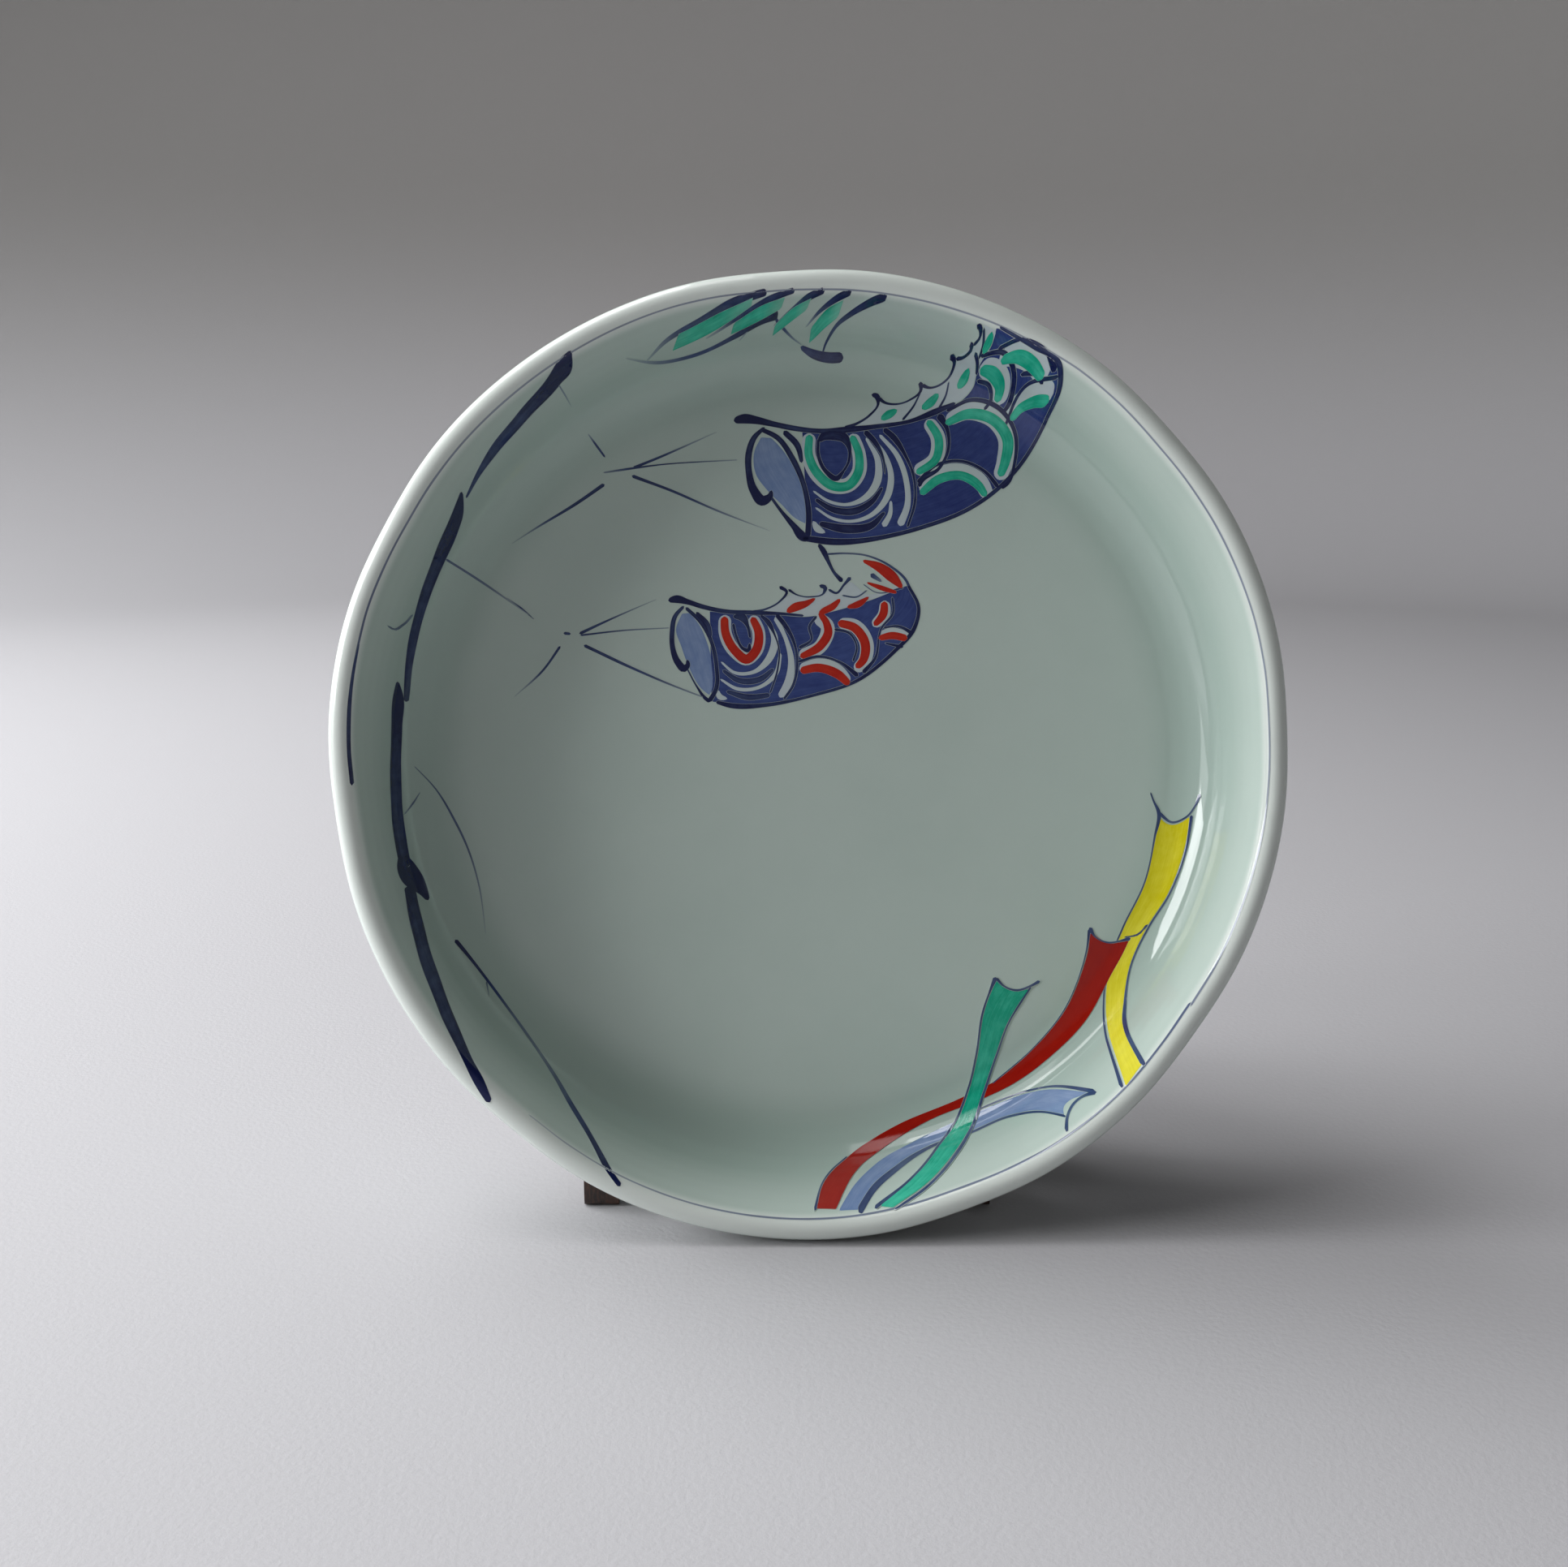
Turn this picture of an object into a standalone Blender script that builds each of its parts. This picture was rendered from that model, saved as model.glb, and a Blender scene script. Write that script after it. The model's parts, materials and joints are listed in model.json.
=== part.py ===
"""A painted porcelain dish leaning on a small folding wooden stand.

Metres, +Z up. +X is the viewer's right and -Y points at the viewer. The origin is the bottom
centre of the whole object's box. The dish leans back on the stand with its lip at the table.
"""

import math

import bmesh
import bpy
from mathutils import Vector

MM = 0.001

# Dish. Radii are from its own axis, heights are above the plane of its foot ring.
RIM_RADIUS = 120.6 * MM
RIM_HEIGHT = 42 * MM
LIP_ROUND = 3.2 * MM
WALL_ANGLE = math.radians(72)
WALL_THICKNESS = 4.6 * MM
BEAD_DROP = 8.5 * MM
FLOOR_HEIGHT = 12 * MM
FLOOR_ROUND = 13.8 * MM
UNDERSIDE_HEIGHT = 6.5 * MM
UNDERSIDE_ROUND = 20 * MM
FOOT_RING_INSET = 43.1 * MM
FOOT_RING_WIDTH = 5 * MM
FOOT_RING_TAPER = 1.2 * MM
FOOT_RING_ROUND = 0.6 * MM
RECESS_HEIGHT = 5.4 * MM
DISH_STEPS = 80

# The rim's hand-made shape, as changes of its radius.
NOTCH_ANGLES = (3, 42, 94, 151, 188, 232, 289, 324)
NOTCH_DEPTH = 0.72 * MM
NOTCH_WIDTH = math.radians(8)
OVAL = 0.65 * MM
OVAL_ANGLE = math.radians(83)
TRIANGULAR = 0.59 * MM
TRIANGULAR_ANGLE = math.radians(33)

# How the dish stands. It is a little to the right of the stand's middle.
LEAN = math.radians(12)
LIP_CLEARANCE = 0.3 * MM
SEAT_CLEARANCE = 0.3 * MM
DISH_OFFSET = 5.5 * MM

# Side frames of the stand. "Up" is measured up the leaning dish from its lip at the table.
STAND_WIDTH = 106 * MM
BOARD_THICKNESS = 9 * MM
BOARD_EDGE = 0.9 * MM
UPRIGHT_TOP = 184 * MM
UPRIGHT_WIDTH = 17 * MM
SHOULDER_MARGIN = 9 * MM
SHOULDER_LENGTH = 32 * MM
NECK_LENGTH = 70 * MM
TOE_BEHIND_LIP = 21 * MM
TOE_CLEARANCE = 0.6 * MM
HEEL_LENGTH = 26 * MM
HEEL_HEIGHT = 10 * MM
ARCH_HEIGHT = 3.5 * MM
FOOT_PAD = 10 * MM

# Rear legs, which turn on two rivets.
REAR_SPLAY = math.radians(20)
LEG_SETBACK = 5 * MM
PIVOT_BELOW_TOP = 20 * MM
LEG_WIDTH = 12 * MM
LEG_THICKNESS = 8 * MM
LEG_FOOT_ROUND = 1 * MM
RUNG_HEIGHTS = (95.5 * MM, 23.5 * MM)
STOP_ARM = 11 * MM

# Dowels and rivets.
DOWEL_RADIUS = 3.5 * MM
DOWEL_CHAMFER = 0.5 * MM
LOWER_BAR_UP = 26 * MM
GLUE_GAP = 0.3 * MM
RIVET_RADIUS = 2 * MM
RIVET_HEAD_RADIUS = 4.2 * MM
RIVET_HEAD_HEIGHT = 2 * MM
RIVET_TAIL_RADIUS = 3.2 * MM
RIVET_TAIL_HEIGHT = 1.3 * MM
WASHER_RADIUS = 5 * MM
WASHER_THICKNESS = 0.8 * MM
RUNNING_GAP = 0.3 * MM
ROUND_STEPS = 20


def rim_change(angle):
    """How far the rim's radius departs from a true circle at an angle seen from the front."""
    change = OVAL * math.cos(2 * (angle - OVAL_ANGLE))
    change += TRIANGULAR * math.cos(3 * (angle - TRIANGULAR_ANGLE))
    for notch in NOTCH_ANGLES:
        apart = math.remainder(angle - math.radians(notch), math.tau)
        change -= NOTCH_DEPTH * math.exp(-((apart / NOTCH_WIDTH) ** 2))
    return change


def rim_reach(direction):
    """How far the rim reaches from its own axis in a direction seen from the front, in degrees."""
    reach = 0
    for i in range(DISH_STEPS):
        angle = math.tau * i / DISH_STEPS
        radius = RIM_RADIUS + rim_change(angle)
        reach = max(reach, radius * math.cos(angle - math.radians(direction)))
    return reach


# The dish and the stand across the width.
DISH_X = (rim_reach(180) - rim_reach(0)) / 2
DISH_UP = rim_reach(-90)
STAND_X = DISH_X - DISH_OFFSET
BOARD_MIDDLE = (STAND_WIDTH - BOARD_THICKNESS) / 2
BOARD_INSIDE = STAND_WIDTH / 2 - BOARD_THICKNESS
WASHER_MIDDLE = BOARD_INSIDE - RUNNING_GAP - WASHER_THICKNESS / 2
LEG_OUTSIDE = WASHER_MIDDLE - WASHER_THICKNESS / 2 - RUNNING_GAP
LEG_MIDDLE = LEG_OUTSIDE - LEG_THICKNESS / 2

# Heights and depths, worked out first from the front of the lip and then from the middle.
FOOT_RING_RADIUS = RIM_RADIUS - FOOT_RING_INSET
PIVOT_BEHIND = UPRIGHT_WIDTH + LEG_SETBACK
PIVOT_UP = UPRIGHT_TOP - PIVOT_BELOW_TOP
LIP_HEIGHT = RIM_HEIGHT - LIP_ROUND
LIP_Z = LIP_ROUND + LIP_CLEARANCE
PIVOT_RISE = PIVOT_UP - LIP_ROUND
PIVOT_DEPTH = LIP_HEIGHT + PIVOT_BEHIND
PIVOT_Z = LIP_Z + PIVOT_RISE * math.cos(LEAN) - PIVOT_DEPTH * math.sin(LEAN)
PIVOT_BACK = LIP_ROUND + PIVOT_DEPTH * math.cos(LEAN) + PIVOT_RISE * math.sin(LEAN)
LEG_REACH = PIVOT_Z / math.cos(REAR_SPLAY)
LEG_FOOT_BACK = PIVOT_Z * math.tan(REAR_SPLAY) + LEG_WIDTH / 2 / math.cos(REAR_SPLAY)
OBJECT_DEPTH = PIVOT_BACK + LEG_FOOT_BACK
FRONT_Y = -OBJECT_DEPTH / 2
LIP_Y = FRONT_Y + LIP_ROUND
PIVOT = Vector((FRONT_Y + PIVOT_BACK, PIVOT_Z))


def in_row(behind, up):
    """(y, z) of a point that lies behind the foot ring's plane and up the leaning dish."""
    back = LIP_HEIGHT + behind
    rise = up - LIP_ROUND
    y = LIP_Y + back * math.cos(LEAN) + rise * math.sin(LEAN)
    z = LIP_Z + rise * math.cos(LEAN) - back * math.sin(LEAN)
    return Vector((y, z))


def on_leg(down, across=0.0):
    """(y, z) of a point down the opened rear leg from its pivot, and across it towards the back."""
    along = Vector((math.sin(REAR_SPLAY), -math.cos(REAR_SPLAY)))
    outward = Vector((math.cos(REAR_SPLAY), math.sin(REAR_SPLAY)))
    return PIVOT + along * down + outward * across


def arc(centre, radius, start, end, steps):
    """Points on an arc, both ends included; angles in degrees."""
    points = []
    for i in range(steps + 1):
        angle = math.radians(start + (end - start) * i / steps)
        points.append(centre + radius * Vector((math.cos(angle), math.sin(angle))))
    return points


def rounded(corners):
    """The outline through corners, each a point and the radius that rounds it."""
    outline = []
    for i, (corner, radius) in enumerate(corners):
        before = (corners[i - 1][0] - corner).normalized()
        after = (corners[(i + 1) % len(corners)][0] - corner).normalized()
        half = before.angle(after) / 2
        centre = corner + (before + after).normalized() * radius / math.sin(half)
        first = corner + before * radius / math.tan(half) - centre
        last = corner + after * radius / math.tan(half) - centre
        start = math.degrees(math.atan2(first.y, first.x))
        end = math.degrees(math.atan2(last.y, last.x))
        turn = math.remainder(end - start, 360)
        outline += arc(centre, radius, start, start + turn, max(2, math.ceil(abs(turn) / 15)))
    return outline


def crossing(point, along, height):
    """Where the line through a point, in a direction, comes to a height."""
    return point + along * ((height - point.y) / along.y)


def material(name, colour, roughness, metallic=0.0):
    made = bpy.data.materials.new(name)
    made.use_nodes = True
    shader = made.node_tree.nodes["Principled BSDF"]
    shader.inputs["Base Color"].default_value = (*colour, 1)
    shader.inputs["Roughness"].default_value = roughness
    shader.inputs["Metallic"].default_value = metallic
    return made


def placed(name, data, finish, collection):
    made = bpy.data.objects.new(name, data)
    data.materials.append(finish)
    collection.objects.link(made)
    return made


def turned_mesh(profile, steps, closed=False):
    """A mesh turned about Z from (radius, height) points that run down its outer side."""
    form = bmesh.new()
    ring = [form.verts.new((point.x, 0, point.y)) for point in profile]
    for pair in zip(ring, ring[1:] + ring[:1] if closed else ring[1:]):
        form.edges.new(pair)
    line = bpy.data.meshes.new("profile")
    form.to_mesh(line)
    form.free()
    lathe = bpy.data.objects.new("lathe", line)
    bpy.context.scene.collection.objects.link(lathe)
    screw = lathe.modifiers.new("Screw", "SCREW")
    screw.steps = steps
    screw.render_steps = steps
    screw.use_merge_vertices = True
    screw.merge_threshold = 0.00001
    evaluated = lathe.evaluated_get(bpy.context.evaluated_depsgraph_get())
    mesh = bpy.data.meshes.new_from_object(evaluated)
    bpy.data.objects.remove(lathe)
    mesh.shade_smooth()
    mesh.set_sharp_from_angle(angle=math.radians(40))
    return mesh


def outer_profile():
    """(radius, height) down the dish's outside, from the top of its lip to its foot ring."""
    up_wall = Vector((math.cos(WALL_ANGLE), math.sin(WALL_ANGLE)))
    through_wall = Vector((math.sin(WALL_ANGLE), -math.cos(WALL_ANGLE)))
    lip = Vector((RIM_RADIUS - LIP_ROUND, LIP_HEIGHT))
    bead_end = lip + through_wall * (WALL_THICKNESS - LIP_ROUND) - up_wall * BEAD_DROP
    corner = bead_end - up_wall * (bead_end.y - UNDERSIDE_HEIGHT) / up_wall.y
    edge = corner.x - UNDERSIDE_ROUND * math.tan(WALL_ANGLE / 2)
    centre = Vector((edge, UNDERSIDE_HEIGHT + UNDERSIDE_ROUND))
    points = arc(lip, LIP_ROUND, 90, -35, 5)
    points += [bead_end]
    points += arc(centre, UNDERSIDE_ROUND, math.degrees(WALL_ANGLE) - 90, -90, 5)
    points += [Vector((FOOT_RING_RADIUS + FOOT_RING_TAPER, UNDERSIDE_HEIGHT))]
    return points


def inner_profile():
    """(radius, height) from the middle of the dish's floor, up its wall, to its lip."""
    up_wall = Vector((math.cos(WALL_ANGLE), math.sin(WALL_ANGLE)))
    lip = Vector((RIM_RADIUS - LIP_ROUND, LIP_HEIGHT))
    wall_top = lip - Vector((math.sin(WALL_ANGLE), -math.cos(WALL_ANGLE))) * LIP_ROUND
    corner = wall_top - up_wall * (wall_top.y - FLOOR_HEIGHT) / up_wall.y
    edge = corner.x - FLOOR_ROUND * math.tan(WALL_ANGLE / 2)
    centre = Vector((edge, FLOOR_HEIGHT + FLOOR_ROUND))
    wall_degrees = math.degrees(WALL_ANGLE)
    points = [Vector((0, FLOOR_HEIGHT)), Vector((edge / 2, FLOOR_HEIGHT))]
    points += arc(centre, FLOOR_ROUND, -90, wall_degrees - 90, 5)
    points += arc(lip, LIP_ROUND, wall_degrees + 90, 90, 3)[:-1]
    return points


def foot_ring_profile():
    """(radius, height) round the foot ring and in to the middle of the underside."""
    inside = FOOT_RING_RADIUS - FOOT_RING_WIDTH
    return [
        Vector((FOOT_RING_RADIUS, FOOT_RING_ROUND)),
        Vector((FOOT_RING_RADIUS - FOOT_RING_ROUND, 0)),
        Vector((inside + FOOT_RING_ROUND, 0)),
        Vector((inside, FOOT_RING_ROUND)),
        Vector((inside - FOOT_RING_TAPER, RECESS_HEIGHT)),
        Vector((0, RECESS_HEIGHT)),
    ]


def make_dish(collection, porcelain):
    mesh = turned_mesh(inner_profile() + outer_profile() + foot_ring_profile(), DISH_STEPS)
    for vertex in mesh.vertices:
        share = (vertex.co.z - FLOOR_HEIGHT) / (RIM_HEIGHT - FLOOR_HEIGHT)
        share = min(1.0, max(0.0, share))
        share = share * share * (3 - 2 * share)
        radius = math.hypot(vertex.co.x, vertex.co.y)
        if share > 0 and radius > 0:
            growth = 1 + share * rim_change(math.atan2(vertex.co.y, vertex.co.x)) / radius
            vertex.co.x *= growth
            vertex.co.y *= growth
    dish = placed("dish", mesh, porcelain, collection)
    foot = in_row(0, DISH_UP)
    dish.location = (DISH_X, foot.x, foot.y)
    dish.rotation_euler = (math.pi / 2 - LEAN, 0, 0)


def height_under_dish(across, back):
    """The lowest z of the dish's outside, at a place across it and from a depth behind its lip."""
    lowest = math.inf
    points = outer_profile()
    for start, end in zip(points, points[1:]):
        for i in range(20):
            point = start.lerp(end, i / 20)
            if point.x > across:
                place = in_row(-point.y, DISH_UP - math.sqrt(point.x**2 - across**2))
                if place.x >= FRONT_Y + back:
                    lowest = min(lowest, place.y)
    return lowest


def cut_board(name, outline, holes, thickness, middle, wood, collection):
    """A flat board of an outline in (y, z), with round holes, standing at x = middle."""
    shape = bpy.data.curves.new(name, "CURVE")
    shape.dimensions = "2D"
    shape.fill_mode = "BOTH"
    shape.extrude = thickness / 2
    loops = [outline] + [arc(centre, radius, 0, 360, ROUND_STEPS)[:-1] for centre, radius in holes]
    for loop in loops:
        spline = shape.splines.new("POLY")
        spline.points.add(len(loop) - 1)
        spline.use_cyclic_u = True
        for point, place in zip(spline.points, loop):
            point.co = (place.x, place.y, 0, 1)
    board = placed(name, shape, wood, collection)
    board.location = (middle, 0, 0)
    board.rotation_euler = (math.pi / 2, 0, math.pi / 2)
    weld = board.modifiers.new("Weld", "WELD")
    weld.merge_threshold = 0.00001
    bevel = board.modifiers.new("Bevel", "BEVEL")
    bevel.width = BOARD_EDGE
    bevel.segments = 2
    bevel.limit_method = "ANGLE"
    bevel.angle_limit = math.radians(50)


def stop_bar():
    """(y, z) of the upper crossbar, which the opened legs' top ends rest against."""
    return on_leg(-STOP_ARM, -(LEG_WIDTH / 2 + RUNNING_GAP + DOWEL_RADIUS))


def rest_bar():
    """(y, z) of the lower crossbar, which the folded legs rest against."""
    return in_row(PIVOT_BEHIND - LEG_WIDTH / 2 - RUNNING_GAP - DOWEL_RADIUS, LOWER_BAR_UP)


def side_frame_outline():
    front = SEAT_CLEARANCE
    back = front + UPRIGHT_WIDTH
    shoulder = PIVOT_BEHIND + SHOULDER_MARGIN
    up_dish = Vector((math.sin(LEAN), math.cos(LEAN)))
    toe = FRONT_Y + TOE_BEHIND_LIP
    nearest = BOARD_INSIDE - DISH_OFFSET
    foot_top = height_under_dish(nearest, TOE_BEHIND_LIP) - TOE_CLEARANCE
    ankle = crossing(in_row(front, 0), up_dish, foot_top)
    instep = crossing(in_row(back, 0), up_dish, HEEL_HEIGHT)
    heel = instep.x + HEEL_LENGTH
    arch_run = 1.6 * ARCH_HEIGHT
    return rounded(
        [
            (in_row(front, UPRIGHT_TOP), 7 * MM),
            (ankle, 4 * MM),
            (Vector((toe, foot_top)), 2.5 * MM),
            (Vector((toe, 0)), 1.5 * MM),
            (Vector((toe + FOOT_PAD, 0)), 2 * MM),
            (Vector((toe + FOOT_PAD + arch_run, ARCH_HEIGHT)), 5 * MM),
            (Vector((heel - FOOT_PAD - arch_run, ARCH_HEIGHT)), 5 * MM),
            (Vector((heel - FOOT_PAD, 0)), 2 * MM),
            (Vector((heel, 0)), 1.5 * MM),
            (Vector((heel, HEEL_HEIGHT)), 4 * MM),
            (instep, 16 * MM),
            (in_row(back, UPRIGHT_TOP - NECK_LENGTH), 60 * MM),
            (in_row(shoulder, UPRIGHT_TOP - SHOULDER_LENGTH), 20 * MM),
            (in_row(shoulder, UPRIGHT_TOP), 12 * MM),
        ]
    )


def leg_outline():
    half = LEG_WIDTH / 2
    overrun = STOP_ARM + half
    slant = half * math.tan(REAR_SPLAY)
    return rounded(
        [
            (on_leg(LEG_REACH - slant, -half), LEG_FOOT_ROUND),
            (on_leg(LEG_REACH + slant, half), LEG_FOOT_ROUND),
            (on_leg(-overrun, half), half * 0.98),
            (on_leg(-overrun, -half), half * 0.98),
        ]
    )


def lay_across(name, mesh, start, side, place, finish, collection):
    """Lay a turned mesh along X at (y, z): its height runs from x = start towards that side."""
    made = placed(name, mesh, finish, collection)
    made.location = (STAND_X + start * side, place.x, place.y)
    made.rotation_euler = (0, side * math.pi / 2, 0)


def make_dowel(name, length, place, wood, collection):
    profile = [
        Vector((0, length)),
        Vector((DOWEL_RADIUS - DOWEL_CHAMFER, length)),
        Vector((DOWEL_RADIUS, length - DOWEL_CHAMFER)),
        Vector((DOWEL_RADIUS, DOWEL_CHAMFER)),
        Vector((DOWEL_RADIUS - DOWEL_CHAMFER, 0)),
        Vector((0, 0)),
    ]
    lay_across(name, turned_mesh(profile, ROUND_STEPS), -length / 2, 1, place, wood, collection)


def make_rivet(name, side, brass, collection):
    """A rivet from its tail, inside the leg, to its domed head outside the side frame."""
    tail_top = LEG_OUTSIDE - LEG_THICKNESS - RUNNING_GAP
    start = tail_top - RIVET_TAIL_HEIGHT
    shank_end = STAND_WIDTH / 2 + RUNNING_GAP - start
    profile = []
    for i in range(6):
        angle = math.radians(90 - 18 * i)
        height = shank_end + RIVET_HEAD_HEIGHT * math.sin(angle)
        profile.append(Vector((RIVET_HEAD_RADIUS * math.cos(angle), height)))
    profile += [
        Vector((RIVET_RADIUS, shank_end)),
        Vector((RIVET_RADIUS, RIVET_TAIL_HEIGHT)),
        Vector((RIVET_TAIL_RADIUS, RIVET_TAIL_HEIGHT)),
        Vector((RIVET_TAIL_RADIUS, RIVET_TAIL_HEIGHT / 2)),
        Vector((RIVET_TAIL_RADIUS * 0.7, 0)),
        Vector((0, 0)),
    ]
    lay_across(name, turned_mesh(profile, ROUND_STEPS), start, side, PIVOT, brass, collection)


def make_washer(name, side, brass, collection):
    inner = RIVET_RADIUS + RUNNING_GAP
    profile = [
        Vector((inner, WASHER_THICKNESS)),
        Vector((WASHER_RADIUS, WASHER_THICKNESS)),
        Vector((WASHER_RADIUS, 0)),
        Vector((inner, 0)),
    ]
    mesh = turned_mesh(profile, ROUND_STEPS, closed=True)
    start = WASHER_MIDDLE - WASHER_THICKNESS / 2
    lay_across(name, mesh, start, side, PIVOT, brass, collection)


def make_stand(collection, wood, brass):
    bar_hole = DOWEL_RADIUS + GLUE_GAP
    rivet_hole = RIVET_RADIUS + RUNNING_GAP
    rungs = [on_leg(LEG_REACH - height) for height in RUNG_HEIGHTS]
    frame_holes = [(stop_bar(), bar_hole), (rest_bar(), bar_hole), (PIVOT, rivet_hole)]
    leg_holes = [(rung, bar_hole) for rung in rungs] + [(PIVOT, rivet_hole)]
    for word, side in (("left", -1), ("right", 1)):
        middle = STAND_X + side * BOARD_MIDDLE
        outline = side_frame_outline()
        cut_board(f"{word}_upright", outline, frame_holes, BOARD_THICKNESS, middle, wood, collection)
        middle = STAND_X + side * LEG_MIDDLE
        outline = leg_outline()
        cut_board(f"{word}_rear_leg", outline, leg_holes, LEG_THICKNESS, middle, wood, collection)
        make_rivet(f"{word}_pivot_rivet", side, brass, collection)
        make_washer(f"{word}_pivot_washer", side, brass, collection)
    make_dowel("upper_crossbar", STAND_WIDTH, stop_bar(), wood, collection)
    make_dowel("lower_crossbar", STAND_WIDTH, rest_bar(), wood, collection)
    make_dowel("upper_rung", 2 * LEG_OUTSIDE, rungs[0], wood, collection)
    make_dowel("lower_rung", 2 * LEG_OUTSIDE, rungs[1], wood, collection)


def main():
    for leftover in list(bpy.data.objects):
        bpy.data.objects.remove(leftover)
    collection = bpy.data.collections.new("carp_streamer_dish")
    bpy.context.scene.collection.children.link(collection)
    porcelain = material("porcelain", (0.72, 0.79, 0.75), 0.08)
    wood = material("dark_wood", (0.045, 0.022, 0.016), 0.45)
    brass = material("brass", (0.55, 0.38, 0.16), 0.3, metallic=1.0)
    make_dish(collection, porcelain)
    make_stand(collection, wood, brass)


main()
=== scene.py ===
import json
import math
import random

import bmesh
import bpy
import numpy as np
from mathutils import Matrix, Vector

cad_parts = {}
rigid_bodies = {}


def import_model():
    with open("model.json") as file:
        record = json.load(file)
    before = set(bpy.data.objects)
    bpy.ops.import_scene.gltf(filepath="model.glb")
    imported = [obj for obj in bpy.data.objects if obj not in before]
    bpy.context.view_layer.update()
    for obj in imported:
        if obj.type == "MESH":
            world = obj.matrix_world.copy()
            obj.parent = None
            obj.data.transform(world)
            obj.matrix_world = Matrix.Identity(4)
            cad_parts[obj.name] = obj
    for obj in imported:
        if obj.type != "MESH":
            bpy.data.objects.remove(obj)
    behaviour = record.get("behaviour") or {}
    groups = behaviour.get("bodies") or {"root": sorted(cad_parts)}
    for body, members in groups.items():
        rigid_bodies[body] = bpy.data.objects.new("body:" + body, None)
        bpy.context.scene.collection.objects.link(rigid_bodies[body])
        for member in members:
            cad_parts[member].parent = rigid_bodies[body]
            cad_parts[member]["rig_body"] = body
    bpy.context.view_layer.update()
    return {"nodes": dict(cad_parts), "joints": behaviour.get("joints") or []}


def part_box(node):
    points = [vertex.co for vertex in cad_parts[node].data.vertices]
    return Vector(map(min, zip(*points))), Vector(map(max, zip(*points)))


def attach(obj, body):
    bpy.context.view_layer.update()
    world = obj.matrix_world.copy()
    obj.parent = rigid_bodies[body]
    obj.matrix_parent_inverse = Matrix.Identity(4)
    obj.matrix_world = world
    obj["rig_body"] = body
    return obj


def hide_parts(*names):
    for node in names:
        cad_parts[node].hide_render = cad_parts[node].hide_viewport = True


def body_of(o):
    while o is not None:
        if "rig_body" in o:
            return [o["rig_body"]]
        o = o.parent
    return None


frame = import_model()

random.seed(12)
scene = bpy.context.scene
scene.view_settings.view_transform = "Standard"


def addNode(tree, kind, **settings):
    node = tree.nodes.new(kind)
    for key, value in settings.items():
        if key in node.inputs:
            node.inputs[key].default_value = value
        else:
            setattr(node, key, value)
    return node


def newGroup(name, takes, gives):
    group = bpy.data.node_groups.new(name, "ShaderNodeTree")
    for label, kind, value in takes:
        socket = group.interface.new_socket(name=label, in_out="INPUT", socket_type=kind)
        if value is not None:
            socket.default_value = value
    for label, kind in gives:
        group.interface.new_socket(name=label, in_out="OUTPUT", socket_type=kind)
    return group, group.nodes.new("NodeGroupInput").outputs, group.nodes.new("NodeGroupOutput").inputs


def useGroup(tree, group, **settings):
    node = tree.nodes.new("ShaderNodeGroup")
    node.node_tree = group
    for key, value in settings.items():
        node.inputs[key].default_value = value
    return node


def maths(tree, operation, first, second=None, third=None):
    node = tree.nodes.new("ShaderNodeMath")
    node.operation = operation
    for slot, value in enumerate((first, second, third)):
        if isinstance(value, (int, float)):
            node.inputs[slot].default_value = value
        elif value is not None:
            tree.links.new(value, node.inputs[slot])
    return node.outputs[0]


def spread(tree, value, low, high, toLow=0.0, toHigh=1.0, soft=True):
    node = tree.nodes.new("ShaderNodeMapRange")
    node.interpolation_type = "SMOOTHSTEP" if soft else "LINEAR"
    tree.links.new(value, node.inputs["Value"])
    node.inputs["From Min"].default_value = low
    node.inputs["From Max"].default_value = high
    node.inputs["To Min"].default_value = toLow
    node.inputs["To Max"].default_value = toHigh
    return node.outputs["Result"]


def blendColour(tree, share, first, second):
    node = tree.nodes.new("ShaderNodeMix")
    node.data_type = "RGBA"
    for slot, value in ((0, share), (6, first), (7, second)):
        if isinstance(value, bpy.types.NodeSocket):
            tree.links.new(value, node.inputs[slot])
        else:
            node.inputs[slot].default_value = value
    return node.outputs[2]


def stretch(tree, vector, scale=(1, 1, 1), turn=(0, 0, 0), shift=(0, 0, 0)):
    node = tree.nodes.new("ShaderNodeMapping")
    node.inputs["Scale"].default_value = scale
    node.inputs["Rotation"].default_value = turn
    node.inputs["Location"].default_value = shift
    tree.links.new(vector, node.inputs["Vector"])
    return node.outputs[0]


def noise(tree, vector, scale, detail=4.0, roughness=0.5, distortion=0.0):
    node = addNode(tree, "ShaderNodeTexNoise", Scale=scale, Detail=detail, Roughness=roughness,
                   Distortion=distortion)
    tree.links.new(vector, node.inputs["Vector"])
    return node.outputs["Fac"]


def paint(hexColour):
    parts = [int(hexColour[i:i + 2], 16) / 255 for i in (0, 2, 4)]
    return tuple(c / 12.92 if c <= 0.04045 else ((c + 0.055) / 1.055) ** 2.4 for c in parts) + (1.0,)


def newMaterial(name, roughness=0.5, metallic=0.0, coat=0.0, coatRoughness=0.03, ior=1.5):
    material = bpy.data.materials.new(name)
    material.use_nodes = True
    tree = material.node_tree
    shader = tree.nodes["Principled BSDF"]
    shader.inputs["Roughness"].default_value = roughness
    shader.inputs["Metallic"].default_value = metallic
    shader.inputs["Coat Weight"].default_value = coat
    shader.inputs["Coat Roughness"].default_value = coatRoughness
    shader.inputs["IOR"].default_value = ior
    return material, tree, shader


def raiseBumps(tree, shader, height, distance, strength=1.0):
    bump = addNode(tree, "ShaderNodeBump", Strength=strength, Distance=distance)
    tree.links.new(height, bump.inputs["Height"])
    tree.links.new(bump.outputs[0], shader.inputs["Normal"])


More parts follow.
